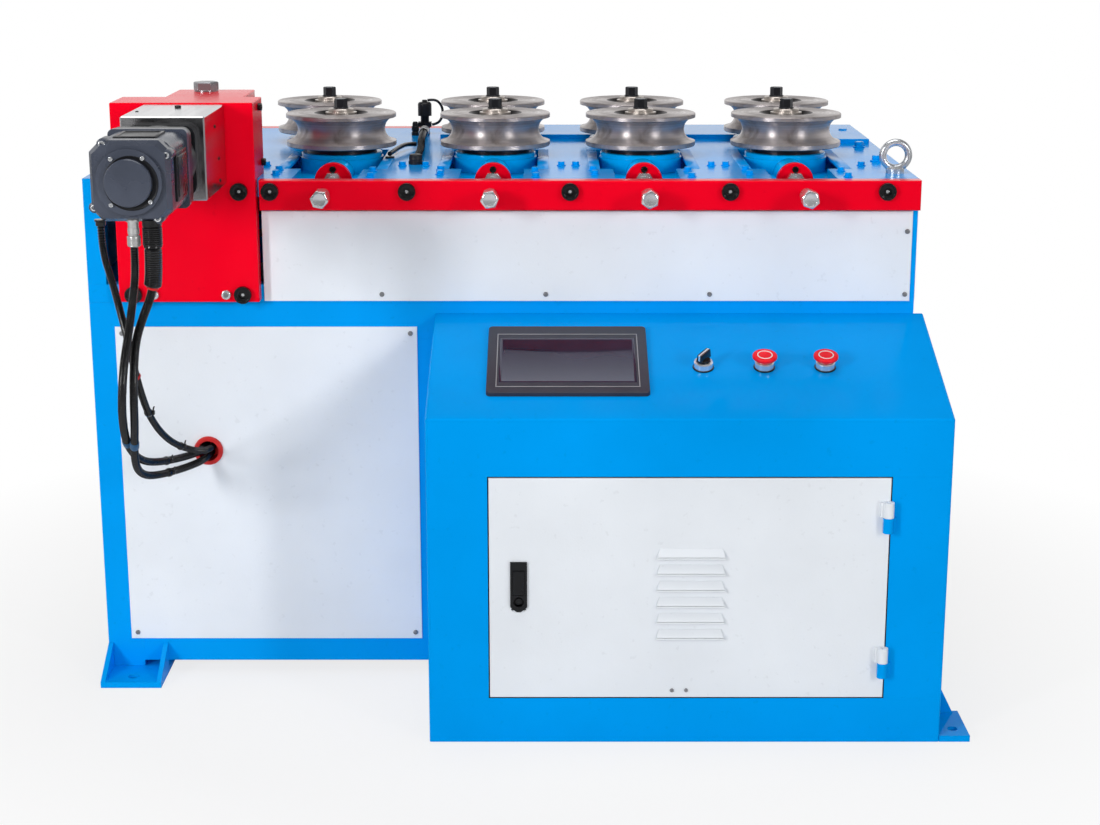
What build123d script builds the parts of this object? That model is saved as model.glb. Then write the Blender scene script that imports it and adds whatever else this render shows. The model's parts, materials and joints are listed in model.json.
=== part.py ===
"""Roll bending machine: two rows of grooved rolls on a deck, a servo drive head and a control console.

Millimetres, +Z up, origin at the middle of the footprint on the floor, front towards -Y.
"""
import math
import os

from build123d import *

os.makedirs("parts", exist_ok=True)

# Overall sizes
base_width = 1342.0
base_depth = 765.0
base_top = 640.0
deck_top = 842.0
console_width = 796.0
console_depth = 297.0
console_offset = 562.0
foot_reach = 77.0
console_foot_reach = 48.0

# Frame and sheet sections
tube = 60.0
tube_wall = 3.0
sill = 30.0
sill_wall = 2.5
sheet = 2.0
panel_lap = 20.0
base_underside = 20.0
foot_width = 101.0
foot_thick = 10.0
gusset_thick = 8.0
gusset_height = 42.0
anchor_r = 9.0
anchor_inset = 50.0
mid_post_offset = 513.0
deck_thick = 30.0

# Rails and their bolts
rail_start = 286.0
rail_thick = 25.0
rail_height = 48.0
rail_edge = 3.0
rear_rail_thick = 35.0
bolt_head_r = 14.0
bolt_head_height = 9.0
bolt_socket = 10.0
rail_bolt_drop = 17.0
rail_bolt_xs = [304.0, 522.0, 782.0, 1037.0, 1287.0]
flange_bolt_xs = [79.0, 255.0]
flange_low_bolt_rise = 18.0
panel_top_gap = 4.0
panel_side_gap = 8.0
panel_sill_gap = 3.0
panel_deck_lap = 10.0

# Rolls
roll_r = 95.0
roll_height = 56.0
roll_lift = 20.0
rim_top = 7.0
rim_low = 8.0
groove_depth = 19.5
rim_chamfer = 1.2
recess_slope = 10.0
recess_lip = 12.0
recess_depth = 8.0
front_xs = [388.0, 655.0, 907.0, 1159.0]
rear_xs = [345.0, 645.0, 900.0, 1166.0]
front_row_y = 290.0
nip_gap = 30.0
spindle_r = 25.0
seal_lip = 35.0
washer_lip = 2.0
washer_height = 9.0
washer_step = 5.0
washer_step_height = 6.0
spindle_bolt_flange = 13.0
spindle_bolt_flange_height = 2.0
spindle_bolt_hex = 20.0
spindle_bolt_height = 15.0
running_gap = 0.05
slide_gap = 0.3

# Carriages and rear housings
housing_r = 71.7
cap_lap = 6.3
cap_height = 8.7
housing_drop = 72.0
ring_inset = 2.0
ring_height = 8.0
ring_edge = 2.5
keeper_half_x = 100.0
keeper_ahead = 140.0
keeper_behind = 90.0
keeper_thick = 14.0
pad_half_x = 88.0
pad_ahead = 136.0
pad_behind = 70.0
pad_drop = 22.0
guide_wall = 15.0
guide_ledge = 12.0
guide_thick = 10.0
carriage_travel = 20.0
nose_r = 28.0
nose_reach = 146.0
nose_hole_depth = 35.0
window_half = 92.0
window_ahead = 168.0
window_behind = 95.0
notch_half = 52.0
retainer_r = 31.0
retainer_thick = 12.0
screw_r = 11.0
screw_drop = 23.0
screw_out = 56.0
screw_tip = 31.0
screw_hex = 22.5
screw_hex_length = 34.0
screw_nut = 30.0
screw_nut_thick = 12.0
screw_nut_gap = 2.0
spindle_nut_lip = 10.0
spindle_nut_height = 20.0
spindle_nut_gap = 5.0

# Drive train
drive_left = 55.0
drive_width = 226.0
drive_foot_gap = 6.0
drive_height = 123.0
drive_block_depth = 76.0
gear_box_left = 125.0
gear_box_width = 127.0
gear_box_back = 204.0
gear_box_wall = 12.0
axis_offset = 173.0
axis_rise = 58.0
out_shaft_back = 140.0
drive_shaft_r = 15.0
drive_bore_r = 40.0
bevel_far = 30.0
bevel_near = 16.0
bevel_gap = 0.5
block_size = 126.0
block_length = 185.0
reducer_flange = 104.0
reducer_flange_corner = 16.0
reducer_flange_length = 22.0
reducer_r = 53.0
reducer_length = 60.0
motor_adapter = 114.0
motor_adapter_length = 18.0
motor_flange = 114.0
motor_flange_length = 14.0
motor_body = 108.0
motor_body_length = 106.0
end_bell = 112.0
end_bell_length = 32.0
bell_corner = 16.0
bell_nose = 12.0
bell_taper = 25.0
cap_ring_r = 46.0
motor_cap_r = 33.0
cap_ring_length = 6.0
motor_cap_length = 15.0
sprocket_teeth = 24
chain_pitch = 15.875
sprocket_rim = 5.0
roller_r = 5.1
sprocket_thick = 12.0
chain_gap = 0.3
chain_thick = 6.0
row_chain_drop = 144.0
head_chain_drop = 120.0
shaft_end = 6.0

# Motor leads
lead_bore = 17.0
grommet_r = 24.0
grommet_neck = 3.0
grommet_lip = 6.0
grommet_depth = 34.0
grommet_floor = 4.0
grommet_x = 184.5
grommet_z = 391.0

# Console
console_back_drop = 18.0
console_front_drop = 119.0
plate = 4.0
plate_edge = 3.0
door_left_margin = 95.0
door_right_margin = 92.0
door_bottom = 75.0
door_height = 354.0
door_gap = 2.0
door_sheet = 2.0
door_fold = 18.0
knuckle_r = 8.0
knuckle_inset = 3.5
pin_r = 3.5
hinge_zs = [111.0, 345.0]
hinge_height = 48.0
hinge_leaf = 12.0
louvre_left = 356.0
louvre_width = 95.0
louvre_low = 172.0
louvre_pitch = 26.0
louvre_count = 6
louvre_height = 15.0
louvre_out = 7.0
louvre_skin = 1.5
lock_left = 127.0
lock_bottom = 215.5
lock_width = 26.0
lock_height = 80.5
lock_point = 8.0
lock_tip = 3.0
keyhole_r = 8.0
keyhole_rise = 16.5
lock_out = 4.0
lock_depth = 22.0
lever_width = 18.0
lever_height = 40.0
lever_thick = 7.0
lever_margin = 13.0
screen_left = 90.0
screen_width = 251.0
screen_length = 199.0
screen_rise = 63.0
screen_thick = 7.0
glass_left = 19.0
glass_right = 19.0
glass_low = 29.0
glass_high = 38.0
glass_depth = 0.8
control_rise = 147.0
control_xs = [427.0, 522.0, 617.0]
bezel_r = 15.0
bezel_height = 12.0
stem_r = 11.0
stem_depth = 15.0
mushroom_r = 19.3
mushroom_low = 16.2
mushroom_top = 23.0
mushroom_round = 2.2
mushroom_under = 2.6
knob_height = 15.0
knob_grip = 9.0
knob_turn = 55.0
console_foot_length = 100.0
console_foot_gusset = 78.0
console_anchor_in = 26.0
console_anchor_back = 28.0
console_anchor_r = 8.0

# Sensor and lifting eye
sensor_x = 512.0
sensor_back_gap = 102.0
sensor_block = 18.0
sensor_block_height = 14.0
sensor_nut = 25.0
sensor_nut_height = 9.6
sensor_neck_r = 8.0
sensor_neck_height = 11.4
sensor_head_r = 13.0
sensor_head_height = 26.0
sensor_knob_r = 5.0
sensor_knob_height = 4.0
sensor_lead_r = 2.5
gland_x = 523.0
gland_y = 183.0
gland_r = 11.0
branch_r = 4.0
branch_eye_r = 8.0
branch_eye_height = 3.0
lead_clear = 1.0
gland_height = 17.0
conduit_r = 6.5
fitting_wall = 1.5
fitting_length = 40.0
eye_x = 1314.0
eye_y = 68.0
eye_ring_r = 21.0
eye_wire_r = 6.0
eye_collar_r = 15.0
eye_collar_height = 8.0

# Raised covers on the rear deck
cover_thick = 8.0
cover_back_gap = 10.0
main_cover = (545.0, 1335.0, 551.0)
side_cover = (1250.0, 478.0)

# The motor train sets how far the machine reaches to the front
motor_lengths = [motor_flange_length, motor_body_length, end_bell_length, motor_cap_length]
reducer_lengths = [reducer_flange_length, reducer_length, motor_adapter_length]
motor_reach = rail_thick + block_length + sum(reducer_lengths) + sum(motor_lengths)

# The footprint is centred on the origin
left_x = sheet - (console_offset + console_width + console_foot_reach + sheet) / 2
right_x = left_x + base_width
front_y = (motor_reach - base_depth - foot_reach) / 2
back_y = front_y + base_depth

# Derived sizes and positions
deck_under = deck_top - deck_thick
sill_top = base_top + sill
row_gap = 2 * roll_r + nip_gap
recess_floor_r = spindle_r + recess_lip
recess_r = recess_floor_r + recess_slope
seal_r = spindle_r + seal_lip
washer_r = spindle_r + washer_lip
spindle_nut_r = spindle_r + spindle_nut_lip
cap_r = housing_r + cap_lap
drive_foot_z = base_top + drive_foot_gap
drive_top = deck_top + drive_height
axis_z = deck_top + axis_rise
row_chain_z = deck_top - row_chain_drop
head_chain_z = deck_top - head_chain_drop
console_front_height = base_top - console_front_drop
console_back_height = base_top - console_back_drop
front_y_axis = front_y + front_row_y
rear_y_axis = front_y_axis + row_gap
roll_low = deck_top + roll_lift
roll_high = roll_low + roll_height
cap_low = deck_top + slide_gap
cap_top = cap_low + cap_height
housing_low = deck_top - housing_drop
ring_low = cap_top - ring_height
pad_top = deck_top - pad_drop
keeper_top = deck_under - slide_gap
keeper_low = keeper_top - keeper_thick
screw_z = deck_top - screw_drop
drive_face_y = front_y - rail_thick
axis_x = left_x + axis_offset
out_y = front_y + out_shaft_back
console_left = left_x + console_offset
console_right = console_left + console_width
console_front = front_y - console_depth
slope = math.atan2(console_back_height - console_front_height, console_depth)
pitch_r = chain_pitch / (2 * math.sin(math.pi / sprocket_teeth))
sprocket_r = pitch_r + sprocket_rim
slope_plane = Plane(
    origin=(console_left, console_front, console_front_height),
    x_dir=(1, 0, 0),
    z_dir=(0, -math.sin(slope), math.cos(slope)),
)
slope_axis = Axis(slope_plane.origin, slope_plane.z_dir)


def save(name, parts):
    """Write one named node; its pieces stay separate solids."""
    solids = [solid for part in parts for solid in part.solids()]
    node = Compound(children=solids) if len(solids) > 1 else solids[0]
    node.label = name
    export_step(node, f"parts/{name}.step")


def bar(x0, x1, y0, y1, z0, z1, wall=0.0, run="z"):
    """A plate, or a hollow section along its run, between two corners."""
    size = [x1 - x0, y1 - y0, z1 - z0]
    with BuildPart() as piece:
        with Locations(((x0 + x1) / 2, (y0 + y1) / 2, (z0 + z1) / 2)):
            Box(*size)
            if wall:
                hollow = [s if axis == run else s - 2 * wall for s, axis in zip(size, "xyz")]
                Box(*hollow, mode=Mode.SUBTRACT)
    return piece.part


def turned(points, x, y):
    """A body turned about a vertical axis from radius and height pairs."""
    with BuildPart() as piece:
        with BuildSketch(Plane(origin=(x, y, 0), x_dir=(1, 0, 0), z_dir=(0, -1, 0))):
            Polygon(*points)
        revolve(axis=Axis((x, y, 0), (0, 0, 1)))
    return piece.part


def face_plane(y):
    """A drawing plane square to the front, with its normal towards the viewer."""
    return Plane(origin=(0, y, 0), x_dir=(1, 0, 0), z_dir=(0, -1, 0))


def headed_screw(x, y, z, radius, height, edge, socket=0.0):
    """A round screw head on a front face, with a hexagon socket if one is given."""
    with BuildPart() as piece:
        with BuildSketch(face_plane(y)):
            with Locations((x, z)):
                Circle(radius)
        extrude(amount=height)
        fillet(piece.faces().sort_by(Axis.Y)[0].edges(), edge)
        if socket:
            with BuildSketch(face_plane(y - height)):
                with Locations((x, z)):
                    RegularPolygon(socket / 2, 6, major_radius=False)
            extrude(amount=-height / 2, mode=Mode.SUBTRACT)
    return piece.part


# Base frame: posts, rails and feet
frame_bars = []
for post_x in (left_x, right_x - tube):
    for post_y in (front_y, back_y - tube):
        frame_bars.append(bar(post_x, post_x + tube, post_y, post_y + tube, foot_thick, base_top, tube_wall))
for rail_z in (base_underside, base_top - tube):
    for rail_y in (front_y, back_y - tube):
        frame_bars.append(bar(left_x + tube, right_x - tube, rail_y, rail_y + tube, rail_z, rail_z + tube,
                              tube_wall, "x"))
    for rail_x in (left_x, right_x - tube):
        frame_bars.append(bar(rail_x, rail_x + tube, front_y + tube, back_y - tube, rail_z, rail_z + tube,
                              tube_wall, "y"))
mid_post_x = left_x + mid_post_offset
for post_y in (front_y, back_y - tube):
    frame_bars.append(bar(mid_post_x, mid_post_x + tube, post_y, post_y + tube, base_underside + tube,
                          base_top - tube, tube_wall))


def foot(x0, x1, y_wall, way):
    """A foot plate that reaches out from the frame, with an anchor hole and a gusset at each side."""
    y_tip = y_wall + way * foot_reach
    y_in = y_wall - way * tube
    with BuildPart() as base_plate:
        with Locations(((x0 + x1) / 2, (y_tip + y_in) / 2, foot_thick / 2)):
            Box(x1 - x0, abs(y_tip - y_in), foot_thick)
        with Locations(((x0 + x1) / 2, y_wall + way * anchor_inset, foot_thick / 2)):
            Cylinder(anchor_r, foot_thick, mode=Mode.SUBTRACT)
    pieces = [base_plate.part]
    for gusset_x in (x0, x1 - gusset_thick):
        with BuildPart() as gusset:
            with BuildSketch(Plane.YZ.offset(gusset_x)):
                Polygon((y_wall, foot_thick), (y_tip, foot_thick), (y_wall, foot_thick + gusset_height))
            extrude(amount=gusset_thick)
        pieces.append(gusset.part)
    return pieces


frame_bars += foot(left_x, left_x + foot_width, front_y, -1)
frame_bars += foot(left_x, left_x + foot_width, back_y, 1)
frame_bars += foot(right_x - foot_width, right_x, back_y, 1)
frame_bars.append(bar(right_x - foot_width, right_x, front_y, front_y + tube, 0, foot_thick))
save("base_frame", frame_bars)

# Deck plate with a window for each carriage, then the posts and sills under it
with BuildPart() as deck:
    deck_mid_y = (front_y + back_y - rear_rail_thick) / 2
    with Locations(((left_x + right_x) / 2, deck_mid_y, deck_top - deck_thick / 2)):
        Box(base_width, base_depth - rear_rail_thick, deck_thick)
    with BuildSketch(Plane.XY.offset(deck_under)):
        for x in front_xs:
            with Locations((left_x + x, front_y_axis + (window_behind - window_ahead) / 2)):
                Rectangle(2 * window_half, window_ahead + window_behind)
            with Locations((left_x + x, (front_y + front_y_axis) / 2)):
                Rectangle(2 * notch_half, front_y_axis - front_y)
        for x in rear_xs:
            with Locations((left_x + x, rear_y_axis)):
                Circle(housing_r + running_gap)
        with Locations((axis_x, out_y)):
            Circle(drive_shaft_r + running_gap)
    extrude(amount=deck_thick, mode=Mode.SUBTRACT)
save("deck_plate", [deck.part])
body_bars = []
for post_x in (left_x, left_x + rail_start, right_x - sill):
    for post_y in (front_y, back_y - sill):
        body_bars.append(bar(post_x, post_x + sill, post_y, post_y + sill, sill_top, deck_under, sill_wall))
for sill_y in (front_y, back_y - sill):
    body_bars.append(bar(left_x, right_x, sill_y, sill_y + sill, base_top, sill_top, sill_wall, "x"))
for sill_x in (left_x, right_x - sill):
    body_bars.append(bar(sill_x, sill_x + sill, front_y + sill, back_y - sill, base_top, sill_top,
                         sill_wall, "y"))

# Cover panels lie on the outside of the tubes
lap = tube - panel_lap
low_z = base_underside + lap
high_z = base_top - lap
up_low = base_top + panel_sill_gap
up_high = deck_top - rail_height - panel_top_gap
side_high = deck_under + panel_deck_lap
base_panel_right = mid_post_x + panel_lap
with BuildPart() as front_panel:
    with BuildSketch(face_plane(front_y)):
        with Locations(((left_x + lap + base_panel_right) / 2, (low_z + high_z) / 2)):
            Rectangle(base_panel_right - left_x - lap, high_z - low_z)
        with Locations((left_x + grommet_x, grommet_z)):
            Circle(lead_bore + grommet_neck + running_gap, mode=Mode.SUBTRACT)
    extrude(amount=sheet)
panels = [front_panel.part]
panels.append(bar(left_x - sheet, left_x, front_y + lap, back_y - lap, low_z, high_z))
panels.append(bar(right_x, right_x + sheet, front_y + lap, back_y - lap, low_z, high_z))
panels.append(bar(left_x + lap, right_x - lap, back_y, back_y + sheet, low_z, high_z))
panels.append(bar(left_x + rail_start, right_x - panel_side_gap, front_y - sheet, front_y, up_low, up_high))
for x in (left_x - sheet, right_x):
    panels.append(bar(x, x + sheet, front_y + panel_side_gap, back_y - panel_side_gap, up_low, side_high))
rear_left = left_x + panel_side_gap
rear_right = right_x - panel_side_gap
panels.append(bar(rear_left, rear_right, back_y, back_y + sheet, up_low, side_high))
save("cover_panels", panels)

# Red rails on the front and the rear of the deck
with BuildPart() as front_rail:
    with BuildSketch(face_plane(front_y)):
        with Locations(((left_x + rail_start + right_x) / 2, deck_top - rail_height / 2)):
            Rectangle(base_width - rail_start, rail_height)
        for x in front_xs:
            with Locations((left_x + x, screw_z)):
                Circle(screw_r + running_gap, mode=Mode.SUBTRACT)
    extrude(amount=rail_thick)
    fillet(front_rail.faces().sort_by(Axis.Y)[0].outer_wire().edges(), rail_edge)
rear_rail = bar(left_x, right_x, back_y - rear_rail_thick, back_y, deck_under, deck_top)

# Black bolts of the rail and of the drive head's front flange
bolts = []
for x in rail_bolt_xs:
    bolts.append(headed_screw(left_x + x, drive_face_y, deck_top - rail_bolt_drop, bolt_head_r,
                              bolt_head_height, bolt_head_height / 2, bolt_socket))
for x in flange_bolt_xs:
    for z in (base_top + flange_low_bolt_rise, deck_top - rail_bolt_drop):
        bolts.append(headed_screw(left_x + x, drive_face_y, z, bolt_head_r, bolt_head_height,
                                  bolt_head_height / 2, bolt_socket))
save("rail_bolts", bolts)

# Plated panel screws, drive flange screws and the oil filler plug
panel_screw_r = 4.0
panel_screw_height = 2.5
panel_screw_inset = 11.0
flange_screw_r = 6.5
flange_screw_height = 5.0
flange_screw_xs = [112.0, 228.0]
up_screw_xs = [477.0, 743.0, 1009.0, 1326.0]
plug_hex = 36.0
plug_height = 13.0
plug_washer_r = 20.0
plug_washer_height = 3.0
plug_back_gap = 32.0
plated = []
for x in (left_x + lap + panel_screw_inset, base_panel_right - panel_screw_inset):
    for z in (low_z + panel_screw_inset, high_z - panel_screw_inset):
        plated.append(headed_screw(x, front_y - sheet, z, panel_screw_r, panel_screw_height, 1.2))
for x in up_screw_xs:
    plated.append(headed_screw(left_x + x, front_y - sheet, up_low + panel_screw_inset, panel_screw_r,
                               panel_screw_height, 1.2))
plated.append(headed_screw(left_x + up_screw_xs[-1], front_y - sheet, up_high - 3 * panel_screw_inset,
                           panel_screw_r, panel_screw_height, 1.2))
for x in flange_screw_xs:
    plated.append(headed_screw(left_x + x, drive_face_y, base_top + flange_low_bolt_rise, flange_screw_r,
                               flange_screw_height, 2.0))
with BuildPart() as plug:
    with BuildSketch(Plane.XY.offset(drive_top)):
        with Locations((axis_x + plug_washer_height, front_y + gear_box_back - plug_back_gap)):
            Circle(plug_washer_r)
    extrude(amount=plug_washer_height)
    with BuildSketch(Plane.XY.offset(drive_top + plug_washer_height)):
        with Locations((axis_x + plug_washer_height, front_y + gear_box_back - plug_back_gap)):
            RegularPolygon(plug_hex / 2, 6, major_radius=False)
    extrude(amount=plug_height)
    chamfer(plug.faces().sort_by(Axis.Z)[-1].edges(), 1.5)
plated.append(plug.part)

# Lifting eye, plated like the screws
eye_z = deck_top + eye_collar_height + eye_ring_r
with BuildPart() as eye:
    with Locations((left_x + eye_x, front_y + eye_y, deck_top + eye_collar_height / 2)):
        Cylinder(eye_collar_r, eye_collar_height)
    with Locations((left_x + eye_x, front_y + eye_y, eye_z)):
        Torus(eye_ring_r, eye_wire_r, rotation=(90, 0, 0))
save("plated_fasteners", plated + [eye.part])


def grooved_roll(x, y):
    """A roll with a half-round groove, a recessed top and a bore for its spindle."""
    bore = spindle_r + running_gap
    mid = (roll_low + rim_low + roll_high - rim_top) / 2
    with BuildPart() as roll:
        with BuildSketch(Plane(origin=(x, y, 0), x_dir=(1, 0, 0), z_dir=(0, -1, 0))):
            with BuildLine():
                low = Polyline(
                    (bore, roll_high - recess_depth),
                    (bore, roll_low),
                    (roll_r - rim_chamfer, roll_low),
                    (roll_r, roll_low + rim_chamfer),
                    (roll_r, roll_low + rim_low),
                )
                groove = ThreePointArc(low @ 1, (roll_r - groove_depth, mid), (roll_r, roll_high - rim_top))
                Polyline(
                    groove @ 1,
                    (roll_r, roll_high - rim_chamfer),
                    (roll_r - rim_chamfer, roll_high),
                    (recess_r, roll_high),
                    (recess_floor_r, roll_high - recess_depth),
                    (bore, roll_high - recess_depth),
                )
            make_face()
        revolve(axis=Axis((x, y, 0), (0, 0, 1)))
    return roll.part


def spindle_top(x, y):
    """The stepped clamp washer and the hexagon bolt that hold a roll on its spindle."""
    washer_low = roll_high - recess_depth
    washer_mid = washer_low + washer_height
    head_low = washer_mid + washer_step_height
    hex_low = head_low + spindle_bolt_flange_height
    with BuildPart() as washer:
        with Locations((x, y, (washer_low + washer_mid) / 2)):
            Cylinder(washer_r, washer_height)
        with Locations((x, y, (washer_mid + head_low) / 2)):
            Cylinder(washer_r - washer_step, washer_step_height)
        chamfer(washer.faces().sort_by(Axis.Z)[-1].edges(), 1.5)
    with BuildPart() as bolt:
        with Locations((x, y, (head_low + hex_low) / 2)):
            Cylinder(spindle_bolt_flange, spindle_bolt_flange_height)
        with BuildSketch(Plane.XY.offset(hex_low)):
            with Locations((x, y)):
                RegularPolygon(spindle_bolt_hex / 2, 6, major_radius=False)
        extrude(amount=spindle_bolt_height)
        chamfer(bolt.faces().sort_by(Axis.Z)[-1].edges(), 1.2)
    return [washer.part, bolt.part]


def sprocket(x, y, z):
    """A toothed chain wheel that stands on the given level."""
    with BuildPart() as wheel:
        with BuildSketch(Plane.XY.offset(z)):
            with Locations((x, y)):
                Circle(sprocket_r)
                with PolarLocations(pitch_r + sprocket_rim, sprocket_teeth):
                    Circle(roller_r + sprocket_rim / 4, mode=Mode.SUBTRACT)
                Circle(spindle_r, mode=Mode.SUBTRACT)
        extrude(amount=sprocket_thick)
    return wheel.part


# Front stations: carriage, retainer, adjusting screw, spindle and roll
seal_low = cap_top + slide_gap
nose_face = front_y_axis - nose_reach
for station, offset in enumerate(front_xs, 1):
    x = left_x + offset
    with BuildPart() as carriage:
        with Locations((x, front_y_axis, (housing_low + ring_low) / 2)):
            Cylinder(housing_r, ring_low - housing_low)
        with Locations((x, front_y_axis, (ring_low + cap_top) / 2)):
            Cylinder(housing_r - ring_inset, ring_height)
        fillet(carriage.faces().sort_by(Axis.Z)[-1].edges(), ring_edge)
        keeper_y = front_y_axis + (keeper_behind - keeper_ahead) / 2
        with Locations((x, keeper_y, (keeper_low + keeper_top) / 2)):
            Box(2 * keeper_half_x, keeper_ahead + keeper_behind, keeper_thick)
        with Locations((x, front_y_axis + (pad_behind - pad_ahead) / 2, (keeper_top + pad_top) / 2)):
            Box(2 * pad_half_x, pad_ahead + pad_behind, pad_top - keeper_top)
        with Locations((x, (nose_face + front_y_axis) / 2, screw_z)):
            Cylinder(nose_r, nose_reach, rotation=(90, 0, 0))
        with Locations((x, front_y_axis, (housing_low + cap_top) / 2)):
            Cylinder(spindle_r + running_gap, cap_top - housing_low, mode=Mode.SUBTRACT)
        with Locations((x, nose_face + nose_hole_depth / 2, screw_z)):
            Cylinder(screw_r + running_gap, nose_hole_depth, rotation=(90, 0, 0), mode=Mode.SUBTRACT)
    save(f"carriage_{station}", [carriage.part])

    with BuildPart() as retainer:
        with BuildSketch(face_plane(nose_face)):
            with Locations((x, screw_z)):
                Circle(retainer_r)
                Circle(screw_r + running_gap, mode=Mode.SUBTRACT)
        extrude(amount=retainer_thick)
        fillet(retainer.faces().sort_by(Axis.Y)[0].outer_wire().edges(), 2.0)
    save(f"retainer_{station}", [retainer.part])

    screw_end = nose_face + screw_tip
    screw_start = drive_face_y - screw_out
    nut_face = nose_face - retainer_thick - screw_nut_gap
    with BuildPart() as adjuster:
        with Locations((x, (screw_start + screw_end) / 2, screw_z)):
            Cylinder(screw_r, screw_end - screw_start, rotation=(90, 0, 0))
        with BuildSketch(face_plane(nut_face)):
            with Locations((x, screw_z)):
                RegularPolygon(screw_nut / 2, 6, major_radius=False)
        extrude(amount=screw_nut_thick)
        with BuildSketch(face_plane(screw_start + screw_hex_length)):
            with Locations((x, screw_z)):
                RegularPolygon(screw_hex / 2, 6, major_radius=False)
        extrude(amount=screw_hex_length)
        chamfer(adjuster.faces().sort_by(Axis.Y)[0].edges(), 1.5)
    save(f"adjusting_screw_{station}", [adjuster.part])

    nut_top = housing_low - spindle_nut_gap
    shaft = turned([
        (0, nut_top - spindle_nut_height),
        (spindle_nut_r, nut_top - spindle_nut_height),
        (spindle_nut_r, nut_top),
        (spindle_r, nut_top),
        (spindle_r, seal_low),
        (seal_r, seal_low),
        (seal_r, roll_low),
        (spindle_r, roll_low),
        (spindle_r, roll_high - recess_depth),
        (0, roll_high - recess_depth),
    ], x, front_y_axis)
    save(f"front_spindle_{station}", [shaft] + spindle_top(x, front_y_axis))
    save(f"front_roll_{station}", [grooved_roll(x, front_y_axis)])

# Guide strips under the deck that carry the carriages' keeper plates
guide_front = front_y_axis - keeper_ahead - carriage_travel
guide_back = front_y_axis + keeper_behind + carriage_travel
guide_mid = (guide_front + guide_back) / 2
guide_length = guide_back - guide_front
guide_high = keeper_low - slide_gap
guide_low = guide_high - guide_thick
strips = []
for offset in front_xs:
    for side in (-1, 1):
        wall_x = left_x + offset + side * (keeper_half_x + slide_gap + guide_wall / 2)
        ledge_x = wall_x - side * guide_ledge / 2
        with BuildPart() as strip:
            with Locations((wall_x, guide_mid, (guide_low + deck_under) / 2)):
                Box(guide_wall, guide_length, deck_under - guide_low)
            with Locations((ledge_x, guide_mid, (guide_low + guide_high) / 2)):
                Box(guide_wall + guide_ledge, guide_length, guide_thick)
        strips.append(strip.part)

# Rear stations: fixed bearing housings, driven spindles and rolls
housings = []
for station, offset in enumerate(rear_xs, 1):
    x = left_x + offset
    housings.append(turned([
        (spindle_r + running_gap, housing_low),
        (housing_r, housing_low),
        (housing_r, deck_top),
        (cap_r, deck_top),
        (cap_r, cap_top - 2.0),
        (cap_r - 2.0, cap_top),
        (spindle_r + running_gap, cap_top),
    ], x, rear_y_axis))
    shaft = turned([
        (0, row_chain_z - shaft_end),
        (spindle_r, row_chain_z - shaft_end),
        (spindle_r, seal_low),
        (seal_r, seal_low),
        (seal_r, roll_low),
        (spindle_r, roll_low),
        (spindle_r, roll_high - recess_depth),
        (0, roll_high - recess_depth),
    ], x, rear_y_axis)
    wheels = [sprocket(x, rear_y_axis, row_chain_z)]
    if station == 1:
        wheels.append(sprocket(x, rear_y_axis, head_chain_z))
    save(f"rear_spindle_{station}", [shaft] + wheels + spindle_top(x, rear_y_axis))
    save(f"rear_roll_{station}", [grooved_roll(x, rear_y_axis)])

# Raised covers on the rear of the deck, cut clear of the bearing housings
cover_back = back_y - rear_rail_thick - cover_back_gap
with BuildPart() as covers:
    with BuildSketch(Plane.XY.offset(deck_top)):
        main_mid = left_x + (main_cover[0] + main_cover[1]) / 2
        with Locations((main_mid, (front_y + main_cover[2] + cover_back) / 2)):
            Rectangle(main_cover[1] - main_cover[0], cover_back - front_y - main_cover[2])
        side_mid = left_x + (side_cover[0] + main_cover[1]) / 2
        with Locations((side_mid, (front_y + side_cover[1] + cover_back) / 2)):
            Rectangle(main_cover[1] - side_cover[0], cover_back - front_y - side_cover[1])
        for x in rear_xs:
            with Locations((left_x + x, rear_y_axis)):
                Circle(cap_r + door_gap, mode=Mode.SUBTRACT)
    extrude(amount=cover_thick)
    chamfer(covers.faces().filter_by(Axis.Z).group_by(Axis.Z)[-1].edges(), 1.0)
save("upper_body", body_bars + strips + housings + [covers.part])

# Drive head: front flange, block and gear box on the deck, hollow inside
flange_mid = left_x + drive_left + drive_width / 2
box_mid = left_x + gear_box_left + gear_box_width / 2
cavity_low = deck_top + gear_box_wall
cavity_front = front_y + drive_block_depth - gear_box_wall
with BuildPart() as gear_head:
    with Locations((flange_mid, front_y - rail_thick / 2, (drive_foot_z + drive_top) / 2)):
        Box(drive_width, rail_thick, drive_top - drive_foot_z)
    with Locations((flange_mid, front_y + drive_block_depth / 2, (deck_top + drive_top) / 2)):
        Box(drive_width, drive_block_depth, drive_top - deck_top)
    with Locations((box_mid, front_y + (drive_block_depth + gear_box_back) / 2, (deck_top + drive_top) / 2)):
        Box(gear_box_width, gear_box_back - drive_block_depth, drive_top - deck_top)
    front_corners = gear_head.faces().sort_by(Axis.Y)[0].edges().filter_by(Axis.Z)
    fillet(gear_head.faces().sort_by(Axis.Z)[-1].edges() + front_corners, 2.0)
    with Locations((
        box_mid,
        (cavity_front + front_y + gear_box_back - gear_box_wall) / 2,
        (cavity_low + drive_top - gear_box_wall) / 2,
    )):
        Box(
            gear_box_width - 2 * gear_box_wall,
            front_y + gear_box_back - gear_box_wall - cavity_front,
            drive_top - gear_box_wall - cavity_low,
            mode=Mode.SUBTRACT,
        )
    with BuildSketch(face_plane(drive_face_y)):
        with Locations((axis_x, axis_z)):
            Circle(drive_bore_r)
    extrude(amount=drive_face_y - cavity_front, mode=Mode.SUBTRACT)
    with Locations((axis_x, out_y, (deck_top + cavity_low) / 2)):
        Cylinder(drive_shaft_r + running_gap, cavity_low - deck_top, mode=Mode.SUBTRACT)
save("rails_and_drive_housing", [front_rail.part, rear_rail, gear_head.part])

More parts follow.
